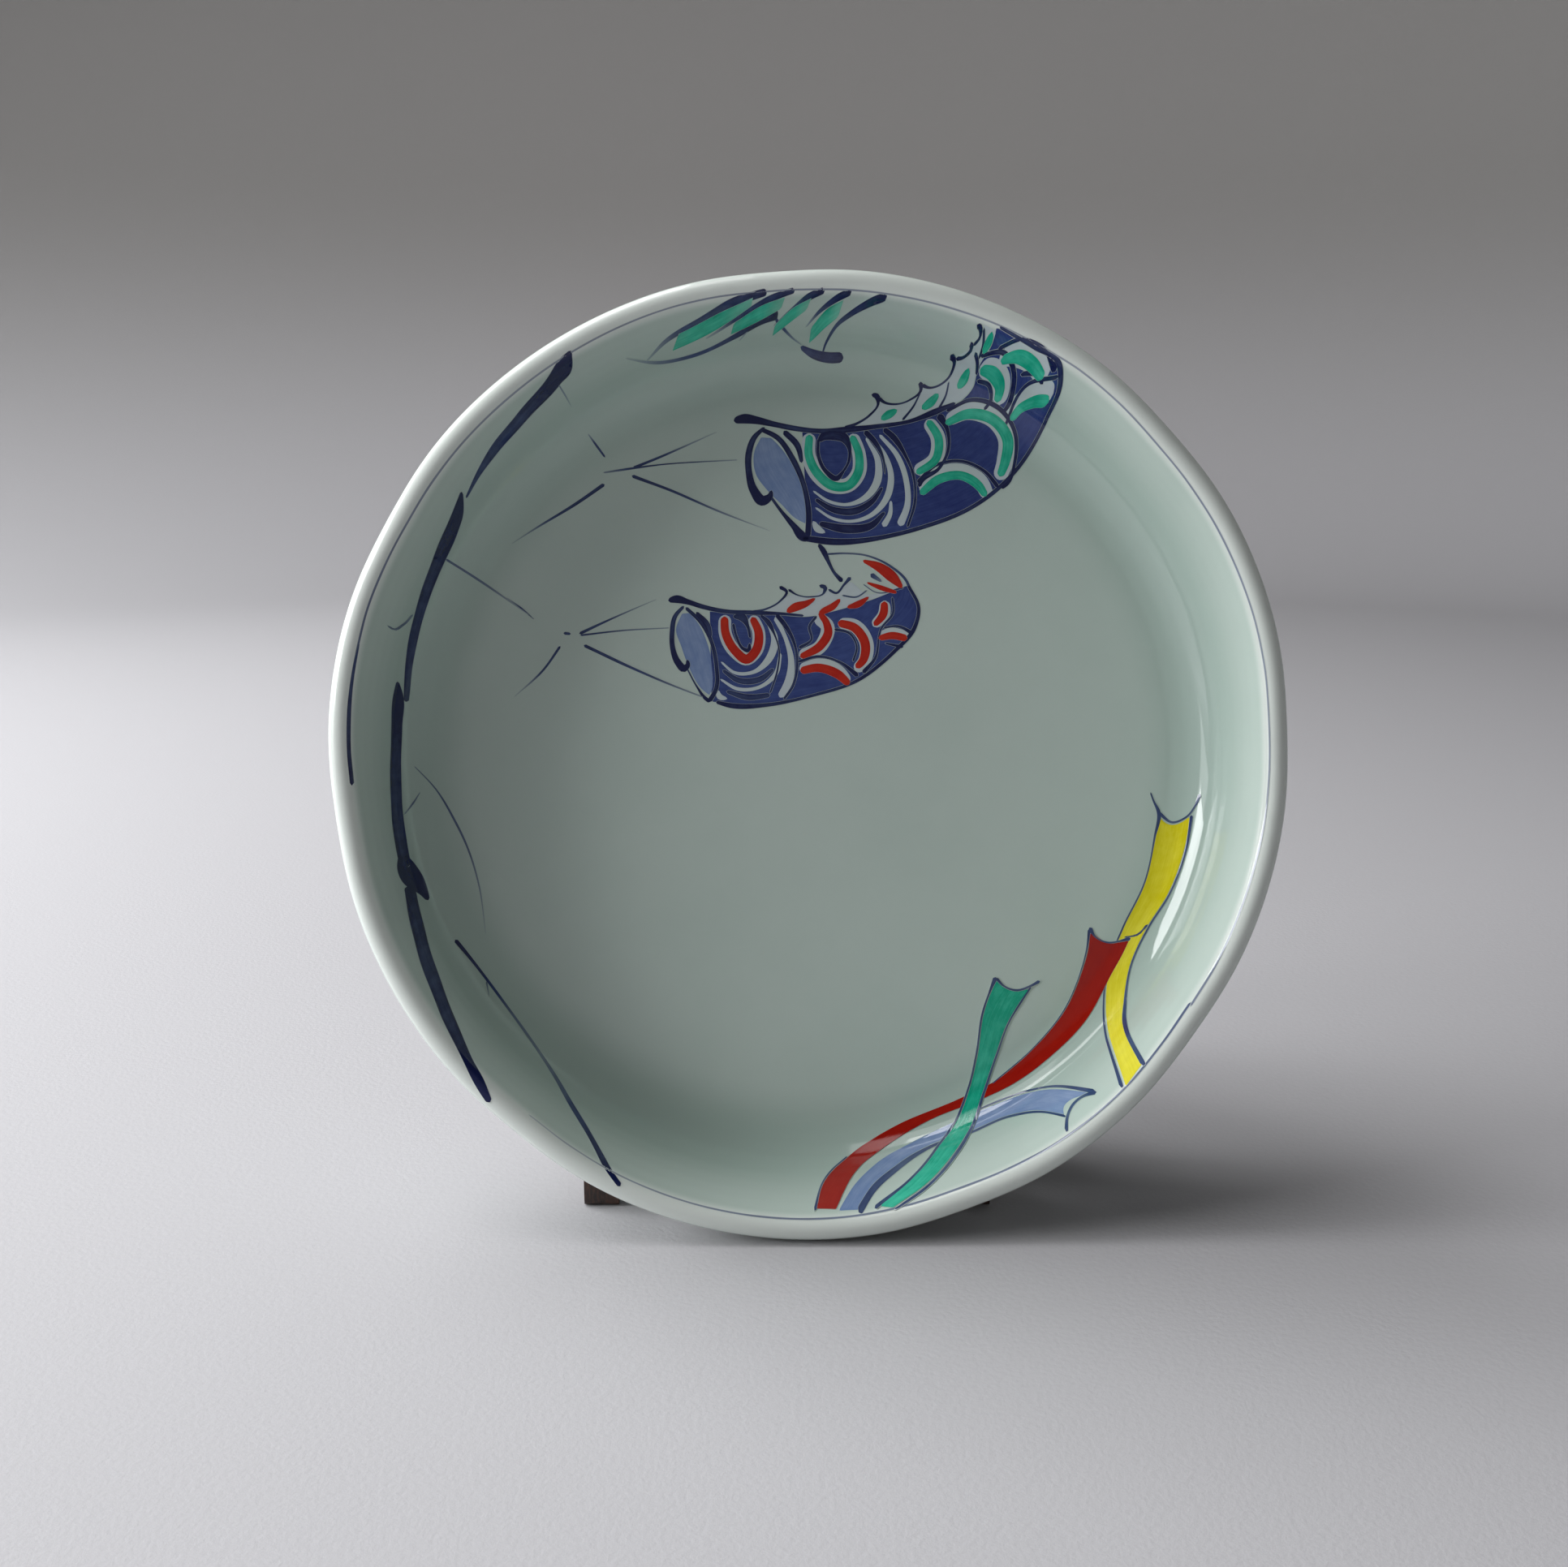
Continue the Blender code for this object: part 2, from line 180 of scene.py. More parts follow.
glazeLook = {
    "floor": paint("c3d2ca"),
    "thick": paint("b1c4bb"),  # where the glaze gathers in the turn of the wall
    "thin": paint("e6ebe6"),  # on the lip, where it runs off
    "outside": paint("c9d3cf"),
    "biscuit": paint("d9cdb9"),  # bare clay on the foot ring
    "roughness": 0.035,
    "ripple": 0.00002,
}


def makeGlazeGroup():
    group, takes, gives = newGroup(
        "glazeTint",
        [("Place", "NodeSocketVector", None), ("Reach", "NodeSocketFloat", 0.0),
         ("Height", "NodeSocketFloat", 0.0)],
        [("Color", "NodeSocketColor"), ("Roughness", "NodeSocketFloat"), ("Ripple", "NodeSocketFloat")],
    )
    reach, height = takes["Reach"], takes["Height"]
    gathered = maths(group, "MULTIPLY", spread(group, reach, 88, 101), spread(group, reach, 128, 108))
    bare = spread(group, height, 38.2, 41.4)
    mottled = noise(group, takes["Place"], 26, 5, 0.6)
    freckled = noise(group, takes["Place"], 900, 2, 0.5)
    colour = blendColour(group, gathered, glazeLook["floor"], glazeLook["thick"])
    colour = blendColour(group, spread(group, mottled, 0.35, 0.7, 0.0, 0.22), colour, glazeLook["thick"])
    colour = blendColour(group, spread(group, reach, 142, 150), colour, glazeLook["outside"])
    colour = blendColour(group, maths(group, "MULTIPLY", bare, 0.75), colour, glazeLook["thin"])
    colour = blendColour(group, spread(group, freckled, 0.68, 0.8, 0.0, 0.10), colour, glazeLook["biscuit"])
    group.links.new(colour, gives["Color"])
    rough = spread(group, mottled, 0.3, 0.75, glazeLook["roughness"] - 0.015, glazeLook["roughness"] + 0.03)
    group.links.new(rough, gives["Roughness"])
    turned = maths(group, "SINE", maths(group, "MULTIPLY", reach, 1.55))  # faint throwing rings
    onWall = maths(group, "MULTIPLY", spread(group, reach, 90, 104), 0.5)
    rings = maths(group, "MULTIPLY", turned, maths(group, "ADD", onWall, 0.08))
    peel = maths(group, "MULTIPLY", noise(group, takes["Place"], 150, 2, 0.4), 1.4)
    group.links.new(maths(group, "ADD", rings, peel), gives["Ripple"])
    return group


def makeBrushGroup():
    group, takes, gives = newGroup(
        "brushInk",
        [("Brush", "NodeSocketVector", None), ("Ink", "NodeSocketFloat", 1.0),
         ("Edge Width", "NodeSocketFloat", 0.2),
         ("Pooling", "NodeSocketFloat", 0.4), ("Streaks", "NodeSocketFloat", 0.5)],
        [("Cover", "NodeSocketFloat"), ("Depth", "NodeSocketFloat")],
    )
    parts = addNode(group, "ShaderNodeSeparateXYZ")
    group.links.new(takes["Brush"], parts.inputs[0])
    edge = parts.outputs["Z"]
    hairs = noise(group, stretch(group, takes["Brush"], (0.10, 2.4, 0.0)), 1.0, 4, 0.6)
    clouds = noise(group, stretch(group, takes["Brush"], (0.33, 0.5, 0.0)), 1.0, 3, 0.5)
    rim = maths(group, "EXPONENT", maths(group, "MULTIPLY", edge, -2.6))
    inside = maths(group, "DIVIDE", edge, takes["Edge Width"])
    clear = maths(group, "MINIMUM", maths(group, "MAXIMUM", inside, 0.0), 1.0)
    wet = maths(group, "MINIMUM", maths(group, "MULTIPLY", takes["Ink"], 2.2), 1.0)
    group.links.new(maths(group, "MULTIPLY", clear, wet), gives["Cover"])
    streaked = maths(group, "MULTIPLY", maths(group, "SUBTRACT", hairs, 0.5), takes["Streaks"])
    clouded = maths(group, "MULTIPLY", maths(group, "SUBTRACT", clouds, 0.45), takes["Streaks"])
    depth = maths(group, "ADD", takes["Ink"], maths(group, "ADD", streaked, clouded))
    depth = maths(group, "ADD", depth, maths(group, "MULTIPLY", rim, takes["Pooling"]))
    group.links.new(maths(group, "MINIMUM", maths(group, "MAXIMUM", depth, 0.0), 1.0), gives["Depth"])
    return group


glazeTint = makeGlazeGroup()
brushInk = makeBrushGroup()


def readAttribute(tree, name, output):
    node = addNode(tree, "ShaderNodeAttribute", attribute_name=name)
    return node.outputs[output]


def layGlaze(tree):
    glaze = useGroup(tree, glazeTint)
    place = addNode(tree, "ShaderNodeTexCoord").outputs["Object"]
    tree.links.new(place, glaze.inputs["Place"])
    tree.links.new(readAttribute(tree, "reach", "Fac"), glaze.inputs["Reach"])
    tree.links.new(readAttribute(tree, "height", "Fac"), glaze.inputs["Height"])
    return glaze


def makeGlazeMaterial():
    material, tree, shader = newMaterial("celadonGlaze", roughness=glazeLook["roughness"], ior=1.52)
    glaze = layGlaze(tree)
    tree.links.new(glaze.outputs["Color"], shader.inputs["Base Color"])
    tree.links.new(glaze.outputs["Roughness"], shader.inputs["Roughness"])
    raiseBumps(tree, shader, glaze.outputs["Ripple"], glazeLook["ripple"])
    return material


def makeBiscuitMaterial():
    material, tree, shader = newMaterial("bareFootClay", roughness=0.85)
    place = addNode(tree, "ShaderNodeTexCoord").outputs["Object"]
    grit = noise(tree, place, 2600, 3, 0.7)
    stain = noise(tree, place, 60, 4, 0.6)
    colour = blendColour(tree, spread(tree, stain, 0.35, 0.7), glazeLook["biscuit"], paint("b79f84"))
    colour = blendColour(tree, spread(tree, grit, 0.6, 0.75, 0.0, 0.5), colour, paint("8a7460"))
    tree.links.new(colour, shader.inputs["Base Color"])
    tree.links.new(spread(tree, grit, 0.3, 0.7, 0.7, 0.95), shader.inputs["Roughness"])
    raiseBumps(tree, shader, grit, 0.00012)
    return material


def makePaint(name, thin, thick, edgeWidth, pooling, streaks, enamel=False):
    material, tree, shader = newMaterial(name, roughness=0.06, ior=1.52)
    glaze = layGlaze(tree)
    brush = useGroup(tree, brushInk, **{"Edge Width": edgeWidth, "Pooling": pooling, "Streaks": streaks})
    tree.links.new(readAttribute(tree, "brush", "Vector"), brush.inputs["Brush"])
    tree.links.new(readAttribute(tree, "ink", "Fac"), brush.inputs["Ink"])
    colour = blendColour(tree, brush.outputs["Depth"], thin, thick)
    colour = blendColour(tree, brush.outputs["Cover"], glaze.outputs["Color"], colour)
    tree.links.new(colour, shader.inputs["Base Color"])
    if enamel:
        tree.links.new(spread(tree, brush.outputs["Depth"], 0, 1, 0.16, 0.07), shader.inputs["Roughness"])
        bumps = maths(tree, "ADD", glaze.outputs["Ripple"],
                      maths(tree, "MULTIPLY", brush.outputs["Depth"], 0.8))
        raiseBumps(tree, shader, bumps, 0.00005)
    else:
        tree.links.new(glaze.outputs["Roughness"], shader.inputs["Roughness"])
        raiseBumps(tree, shader, glaze.outputs["Ripple"], glazeLook["ripple"])
    return material


paints = {
    "cobaltLine": makePaint("cobaltLine", paint("5a6f9c"), paint("111b4a"), 0.10, 0.25, 0.45),
    "cobaltWash": makePaint("cobaltWash", paint("4a5f9a"), paint("1c2c6c"), 0.12, 0.35, 0.6),
    "cobaltPale": makePaint("cobaltPale", paint("9cafce"), paint("7089b6"), 0.15, 0.45, 0.8),
    "whiteReserve": makePaint("whiteReserve", paint("ccd6da"), paint("b3c0d2"), 0.15, 0.2, 0.4),
    "greenEnamel": makePaint("greenEnamel", paint("54dcbc"), paint("05a585"), 0.05, 0.35, 1.0, enamel=True),
    "redEnamel": makePaint("redEnamel", paint("d83a1c"), paint("b01608"), 0.05, 0.3, 0.6, enamel=True),
    "ironRed": makePaint("ironRed", paint("b8240f"), paint("9a1008"), 0.05, 0.3, 0.5, enamel=True),
    "yellowEnamel": makePaint("yellowEnamel", paint("fbf356"), paint("ddd010"), 0.05, 0.35, 0.8,
                              enamel=True),
}
print("glaze and paints mixed", len(paints))


dishForm = {  # millimetres and degrees, heights above the foot ring
    "rimRadius": 120.6, "rimHeight": 42.0, "lipRound": 3.2, "wallAngle": 72.0, "wallThickness": 4.6,
    "beadDrop": 8.5, "floorHeight": 12.0, "floorRound": 13.8, "undersideHeight": 6.5,
    "undersideRound": 20.0,
    "footRadius": 77.5, "footWidth": 5.0, "footTaper": 1.2, "footRound": 0.6, "recessHeight": 5.4,
    "oval": (0.65, 83.0), "triangular": (0.59, 33.0), "notchDepth": 0.72, "notchWidth": 8.0,
    "notches": (3, 42, 94, 151, 188, 232, 289, 324), "turns": 360,
}


def smoothShare(height):
    low, high = dishForm["floorHeight"], dishForm["rimHeight"]
    share = np.clip((np.asarray(height, float) - low) / (high - low), 0, 1)
    return share * share * (3 - 2 * share)


def rimChange(angle):
    angle = np.asarray(angle, float)
    ovalSize, ovalTurn = dishForm["oval"]
    threeSize, threeTurn = dishForm["triangular"]
    notchSpread = math.radians(dishForm["notchWidth"])
    change = ovalSize * np.cos(2 * (angle - math.radians(ovalTurn)))
    change = change + threeSize * np.cos(3 * (angle - math.radians(threeTurn)))
    for notch in dishForm["notches"]:
        apart = (angle - math.radians(notch) + math.pi) % math.tau - math.pi
        change = change - dishForm["notchDepth"] * np.exp(-((apart / notchSpread) ** 2))
    return change


def sweep(centreX, centreY, radius, start, end, steps):
    angles = [math.radians(start + (end - start) * i / steps) for i in range(steps + 1)]
    return [(centreX + radius * math.cos(angle), centreY + radius * math.sin(angle)) for angle in angles]


def dishInside():
    f = dishForm
    wall = math.radians(f["wallAngle"])
    lipX, lipY = f["rimRadius"] - f["lipRound"], f["rimHeight"] - f["lipRound"]
    topX, topY = lipX - math.sin(wall) * f["lipRound"], lipY + math.cos(wall) * f["lipRound"]
    corner = topX - (topY - f["floorHeight"]) / math.tan(wall)
    edge = corner - f["floorRound"] * math.tan(wall / 2)
    points = [(edge * i / 20, f["floorHeight"]) for i in range(20)]
    points += sweep(edge, f["floorHeight"] + f["floorRound"], f["floorRound"], -90, f["wallAngle"] - 90, 26)
    startX, startY = points[-1]
    points += [(startX + (topX - startX) * i / 16, startY + (topY - startY) * i / 16) for i in range(1, 16)]
    points += sweep(lipX, lipY, f["lipRound"], f["wallAngle"] + 90, 90, 10)
    return points


def dishOutside():
    f = dishForm
    wall = math.radians(f["wallAngle"])
    lipX, lipY = f["rimRadius"] - f["lipRound"], f["rimHeight"] - f["lipRound"]
    through = f["wallThickness"] - f["lipRound"]
    beadX = lipX + math.sin(wall) * through - math.cos(wall) * f["beadDrop"]
    beadY = lipY - math.cos(wall) * through - math.sin(wall) * f["beadDrop"]
    corner = beadX - (beadY - f["undersideHeight"]) / math.tan(wall)
    edge = corner - f["undersideRound"] * math.tan(wall / 2)
    points = sweep(lipX, lipY, f["lipRound"], 90, -35, 14)[1:]
    lastX, lastY = points[-1]
    points += [(lastX + (beadX - lastX) * i / 5, lastY + (beadY - lastY) * i / 5) for i in range(1, 6)]
    points += sweep(edge, f["undersideHeight"] + f["undersideRound"], f["undersideRound"],
                    f["wallAngle"] - 90, -90, 24)
    foot, inner = f["footRadius"], f["footRadius"] - f["footWidth"]
    turnOut = foot + f["footTaper"]
    points += [(foot + 3, f["undersideHeight"]), (turnOut + 0.5, f["undersideHeight"] - 0.12),
               (turnOut - 0.1, f["undersideHeight"] - 0.7)]
    points += sweep(foot - f["footRound"], f["footRound"], f["footRound"], 0, -90, 4)
    points += sweep(inner + f["footRound"], f["footRound"], f["footRound"], 270, 180, 4)
    points += [(inner - f["footTaper"] + 0.1, f["recessHeight"] - 0.7),
               (inner - f["footTaper"] - 0.6, f["recessHeight"] - 0.1),
               (inner - 3, f["recessHeight"])]
    points += [((inner - 3) * (1 - i / 6), f["recessHeight"]) for i in range(1, 7)]
    return points


insideLine = np.array(dishInside())
insideReach = np.concatenate([[0], np.cumsum(np.hypot(*np.diff(insideLine, axis=0).T))])
insideSteps = np.diff(insideLine, axis=0)
insideSlope = np.arctan2(insideSteps[:, 1], insideSteps[:, 0])
slopeAt = (insideLine[1:, 0] + insideLine[:-1, 0]) / 2


# the undistorted radius, and the height and slope of the dish's inside there
def onDish(x, y):
    out, angle = np.hypot(x, y), np.arctan2(y, x)
    radius = out.copy()
    for _ in range(9):
        height = np.interp(radius, insideLine[:, 0], insideLine[:, 1])
        radius = out - smoothShare(height) * rimChange(angle)
    slope = np.interp(radius, slopeAt, insideSlope)
    return radius, np.interp(radius, insideLine[:, 0], insideLine[:, 1]), slope


# the matrix from millimetres on the dish (right, up, out of its face) to the shared frame
def findDishPlace():
    lift = next(j for j in frame["joints"] if j["name"] == "dish_lift_off")
    axis = Vector(lift["axis"])
    lean = math.atan2(axis.z, -axis.y)
    turn = Matrix.Rotation(math.pi / 2 - lean, 4, "X")
    back = turn.inverted()
    corners = [back @ v.co for v in frame["nodes"]["dish"].data.vertices]
    lowest = min(c.z for c in corners)
    ring = [c for c in corners if c.z < lowest + 0.0001]
    middleX = (min(c.x for c in ring) + max(c.x for c in ring)) / 2
    middleY = (min(c.y for c in ring) + max(c.y for c in ring)) / 2
    print("dish leans", round(math.degrees(lean), 2), "ring middle", round(middleX, 5), round(middleY, 5),
          round(lowest, 5))
    return turn @ Matrix.Translation((middleX, middleY, lowest)) @ Matrix.Scale(0.001, 4)


dishPlace = findDishPlace()


# turns a finished bmesh into an object at the origin
def addPiece(name, form, materials, smooth=True, sharp=40):
    mesh = bpy.data.meshes.new(name)
    form.to_mesh(mesh)
    form.free()
    piece = bpy.data.objects.new(name, mesh)
    scene.collection.objects.link(piece)
    for material in materials:
        mesh.materials.append(material)
    if smooth:
        mesh.shade_smooth()
        mesh.set_sharp_from_angle(angle=math.radians(sharp))
    return piece


def makeDish():
    form = bmesh.new()
    reachLayer = form.verts.layers.float.new("reach")
    profile = dishInside() + dishOutside()
    reach, last, line = 0.0, profile[0], []
    for point in profile:
        reach += math.dist(point, last)
        last = point
        vertex = form.verts.new((point[0], 0, point[1]))
        vertex[reachLayer] = reach
        line.append(vertex)
    edges = [form.edges.new(pair) for pair in zip(line, line[1:])]
    bmesh.ops.spin(form, geom=line + edges, cent=(0, 0, 0), axis=(0, 0, 1), angle=math.tau,
                   steps=dishForm["turns"], use_merge=True)
    bmesh.ops.remove_doubles(form, verts=form.verts, dist=0.0005)
    bmesh.ops.recalc_face_normals(form, faces=form.faces)
    foot = dishForm["footRadius"]
    for face in form.faces:  # the foot ring's running edge is wiped clean of glaze
        middle = face.calc_center_median()
        if middle.z < 0.75 and foot - 6 < math.hypot(middle.x, middle.y) < foot + 1:
            face.material_index = 1
    piece = addPiece("celadonDish", form, [glazeFinish, biscuitFinish])
    mesh = piece.data
    places = np.empty(len(mesh.vertices) * 3)
    mesh.vertices.foreach_get("co", places)
    places = places.reshape(-1, 3)
    height = mesh.attributes.new("height", "FLOAT", "POINT")
    height.data.foreach_set("value", places[:, 2].astype(np.float32))
    out = np.hypot(places[:, 0], places[:, 1])
    change = rimChange(np.arctan2(places[:, 1], places[:, 0]))
    growth = smoothShare(places[:, 2]) * change / np.maximum(out, 1)
    places[:, :2] *= (1 + growth)[:, None]
    mesh.vertices.foreach_set("co", places.ravel())
    mesh.transform(dishPlace)
    mesh.update()
    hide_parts("dish")
    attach(piece, "dish")
    print("dish turned", len(mesh.polygons), "faces")


glazeFinish = makeGlazeMaterial()
biscuitFinish = makeBiscuitMaterial()
makeDish()


# mm above the glaze
lifts = {"wash": 0.035, "pale": 0.06, "line": 0.085, "enamel": 0.12, "enamelLine": 0.14, "upper": 0.165,
         "upperLine": 0.185,
         "top": 0.21, "topLine": 0.23}


# an even run of points on a smooth curve through the given ones
def handCurve(points, count):
    knots = np.array(points, float)
    if len(knots) < 2:
        return knots
    gaps = np.maximum(np.hypot(*np.diff(knots[:, :2], axis=0).T), 1e-6)
    times = np.concatenate([[0], np.cumsum(gaps)])
    slopes = np.diff(knots, axis=0) / gaps[:, None]
    tangents = np.empty_like(knots)
    tangents[0], tangents[-1] = slopes[0], slopes[-1]
    if len(knots) > 2:
        share = (gaps[:-1] / (gaps[:-1] + gaps[1:]))[:, None]
        tangents[1:-1] = slopes[:-1] * (1 - share) + slopes[1:] * share
    where = np.linspace(0, times[-1], max(240, count * 4))
    index = np.clip(np.searchsorted(times, where, side="right") - 1, 0, len(gaps) - 1)
    t = ((where - times[index]) / gaps[index])[:, None]
    g = gaps[index][:, None]
    curve = ((2 * t**3 - 3 * t**2 + 1) * knots[index] + (t**3 - 2 * t**2 + t) * g * tangents[index]
             + (3 * t**2 - 2 * t**3) * knots[index + 1] + (t**3 - t**2) * g * tangents[index + 1])
    run = np.concatenate([[0], np.cumsum(np.hypot(*np.diff(curve[:, :2], axis=0).T))])
    even = np.linspace(0, run[-1], count)
    return np.stack([np.interp(even, run, curve[:, k]) for k in range(curve.shape[1])], axis=1)


def curveLength(points):
    knots = np.array(points, float)
    return float(np.hypot(*np.diff(knots[:, :2], axis=0).T).sum())


# collects thin closed patches of one paint, laid on the dish
class paintBrush:

    def __init__(self, name, paintName):
        self.name, self.paintName = name, paintName
        self.form = bmesh.new()
        self.inkLayer = self.form.verts.layers.float.new("ink")
        self.brushLayer = self.form.verts.layers.float_vector.new("brush")
        self.start = random.uniform(0, 90)

    # a patch between two edge curves of equally many points
    def patch(self, left, right, lift, ink, cell=0.8, notch=0.0):
        count = len(left)
        widths = np.hypot(*(right - left)[:, :2].T)
        drop = 0.016 if lift < lifts["enamel"] else 0.03
        across = int(min(90, max(2, round(widths.max() / cell))))
        flow = np.concatenate([[0], np.cumsum(np.hypot(*np.diff((left + right)[:, :2] / 2, axis=0).T))])
        self.start += 31.7
        made = bmesh.ops.create_grid(self.form, x_segments=count - 1, y_segments=across, size=1)["verts"]
        faces = list({face for vertex in made for face in vertex.link_faces})
        alongs = np.array([(v.co.x + 1) / 2 * (count - 1) for v in made])
        acrosses = np.array([(v.co.y + 1) / 2 for v in made])
        steps = np.clip(np.rint(alongs).astype(int), 0, count - 1)
        places = left[steps, :2] * (1 - acrosses[:, None]) + right[steps, :2] * acrosses[:, None]
        if notch:  # the start is cut in a hollow curve
            inward = (left[3] + right[3] - left[0] - right[0])[:2]
            inward = inward / np.hypot(*inward)
            hollow = notch * 4 * acrosses * (1 - acrosses) * np.clip(1 - flow[steps] / (4 * notch), 0, 1)
            places = places + inward * hollow[:, None]
        inside = np.minimum(acrosses, 1 - acrosses) * widths[steps]
        fromEnd = np.minimum(flow[steps], flow[-1] - flow[steps])
        edge = np.minimum(inside, fromEnd + 0.02)
        inks = np.interp(steps / max(count - 1, 1), np.linspace(0, 1, len(ink)), ink)
        for vertex, place, e, s, w, k in zip(made, places, edge, steps, acrosses, inks):
            vertex.co = (place[0], place[1], -0.06)
            vertex[self.inkLayer] = k
            vertex[self.brushLayer] = (flow[s] + self.start, (w - 0.5) * widths[s] + self.start, e)
        raised = bmesh.ops.extrude_face_region(self.form, geom=faces, use_keep_orig=True)["geom"]
        for vertex in raised:
            if isinstance(vertex, bmesh.types.BMVert):
                e = vertex[self.brushLayer][2]
                rounded = 1 - (1 - min(e / 0.35, 1.0)) ** 2
                vertex.co.z = lift - drop * (1 - rounded)

    # a brush stroke along (x, y, width) points
    def stroke(self, points, lift="line", ink=(1.0, 1.0), cell=0.45, capped=True, wobble=0.05):
        length = curveLength(points)
        count = int(min(400, max(6, round(length / cell))))
        run = handCurve(points, count)
        tangent = np.gradient(run[:, :2], axis=0)
        tangent /= np.maximum(np.hypot(*tangent.T), 1e-9)[:, None]
        side = np.stack([-tangent[:, 1], tangent[:, 0]], axis=1)
        half = np.maximum(run[:, 2], 0.06) / 2
        if capped:
            along = np.linspace(0, length, count)
            nearest = np.minimum(along, length - along)
            cap = np.minimum(half, length / 3)
            inward = np.minimum(nearest / np.maximum(cap, 1e-6), 1)
            half = half * np.sqrt(np.clip(1 - (1 - inward) ** 2, 0.04, 1))
        for sign in (1, -1):
            phase = [random.uniform(0, math.tau) for _ in range(3)]
            along = np.linspace(0, length, count)
            shake = sum(np.sin(along / rate + p) for rate, p in zip((2.1, 4.7, 9.0), phase)) / 3
            edge = run[:, :2] + sign * side * (half * (1 + wobble * 1.6 * shake))[:, None]
            if sign == 1:
                left = edge
            else:
                right = edge
        self.patch(left, right, lifts[lift], ink, max(0.25, cell))

    # a filled shape between two given edges
    def fill(self, left, right, lift="wash", ink=(0.5, 0.5), cell=0.5, notch=0.0):
        length = max(curveLength(left), curveLength(right))
        count = int(min(320, max(8, round(length / cell))))
        self.patch(handCurve(left, count), handCurve(right, count), lifts[lift], ink, cell, notch)

    def finish(self):
        piece = addPiece(self.name, self.form, [paints[self.paintName]], sharp=50)
        mesh = piece.data
        places = np.empty(len(mesh.vertices) * 3)
        mesh.vertices.foreach_get("co", places)
        places = places.reshape(-1, 3)
        radius, height, slope = onDish(places[:, 0], places[:, 1])
        out = np.maximum(np.hypot(places[:, 0], places[:, 1]), 1e-6)
        lift = places[:, 2].copy()
        places[:, 2] = height + lift * np.cos(slope)
        places[:, 0] -= lift * np.sin(slope) * places[:, 0] / out
        places[:, 1] -= lift * np.sin(slope) * places[:, 1] / out
        for label, values in (("reach", np.interp(radius, insideLine[:, 0], insideReach)),
                              ("height", height)):
            layer = mesh.attributes.new(label, "FLOAT", "POINT")
            layer.data.foreach_set("value", values.astype(np.float32))
        mesh.vertices.foreach_set("co", places.ravel())
        mesh.transform(dishPlace)
        shell = bmesh.new()
        shell.from_mesh(mesh)
        bmesh.ops.recalc_face_normals(shell, faces=shell.faces)
        shell.to_mesh(mesh)
        shell.free()
        mesh.shade_smooth()
        mesh.set_sharp_from_angle(angle=math.radians(50))
        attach(piece, "dish")
        print("painted", self.name, len(mesh.polygons))
        return piece


# (x, y, width) along an arc round the dish, in degrees
def ringPoints(start, end, radius, widths):
    count = max(4, int(abs(end - start) / 6))
    result = []
    for i in range(count + 1):
        angle = math.radians(start + (end - start) * i / count)
        reach = radius + 0.16 * math.sin(angle * 7 + 1) + float(rimChange(angle)) * 0.95
        width = np.interp(i / count, np.linspace(0, 1, len(widths)), widths)
        result.append((reach * math.cos(angle), reach * math.sin(angle), float(width)))
    return result


def paintRimLine():
    brush = paintBrush("rimLine", "cobaltLine")
    brush.stroke(ringPoints(184, 166, 115.2, (0.9, 0.9, 0.6)), ink=(0.85, 0.7, 0.42), cell=0.7)
    brush.stroke(ringPoints(168, 60, 115.3, (0.55, 0.45, 0.45)), ink=(0.42, 0.3, 0.34, 0.3), cell=0.8)
    brush.stroke(ringPoints(61, -33.6, 115.3, (0.45, 0.45, 0.5)), ink=(0.3, 0.36, 0.3, 0.36), cell=0.8)
    brush.stroke(ringPoints(-33, -128, 114.9, (0.5, 0.5, 0.45, 0.3)), ink=(0.42, 0.36, 0.36, 0.2), cell=0.8)
    brush.finish()


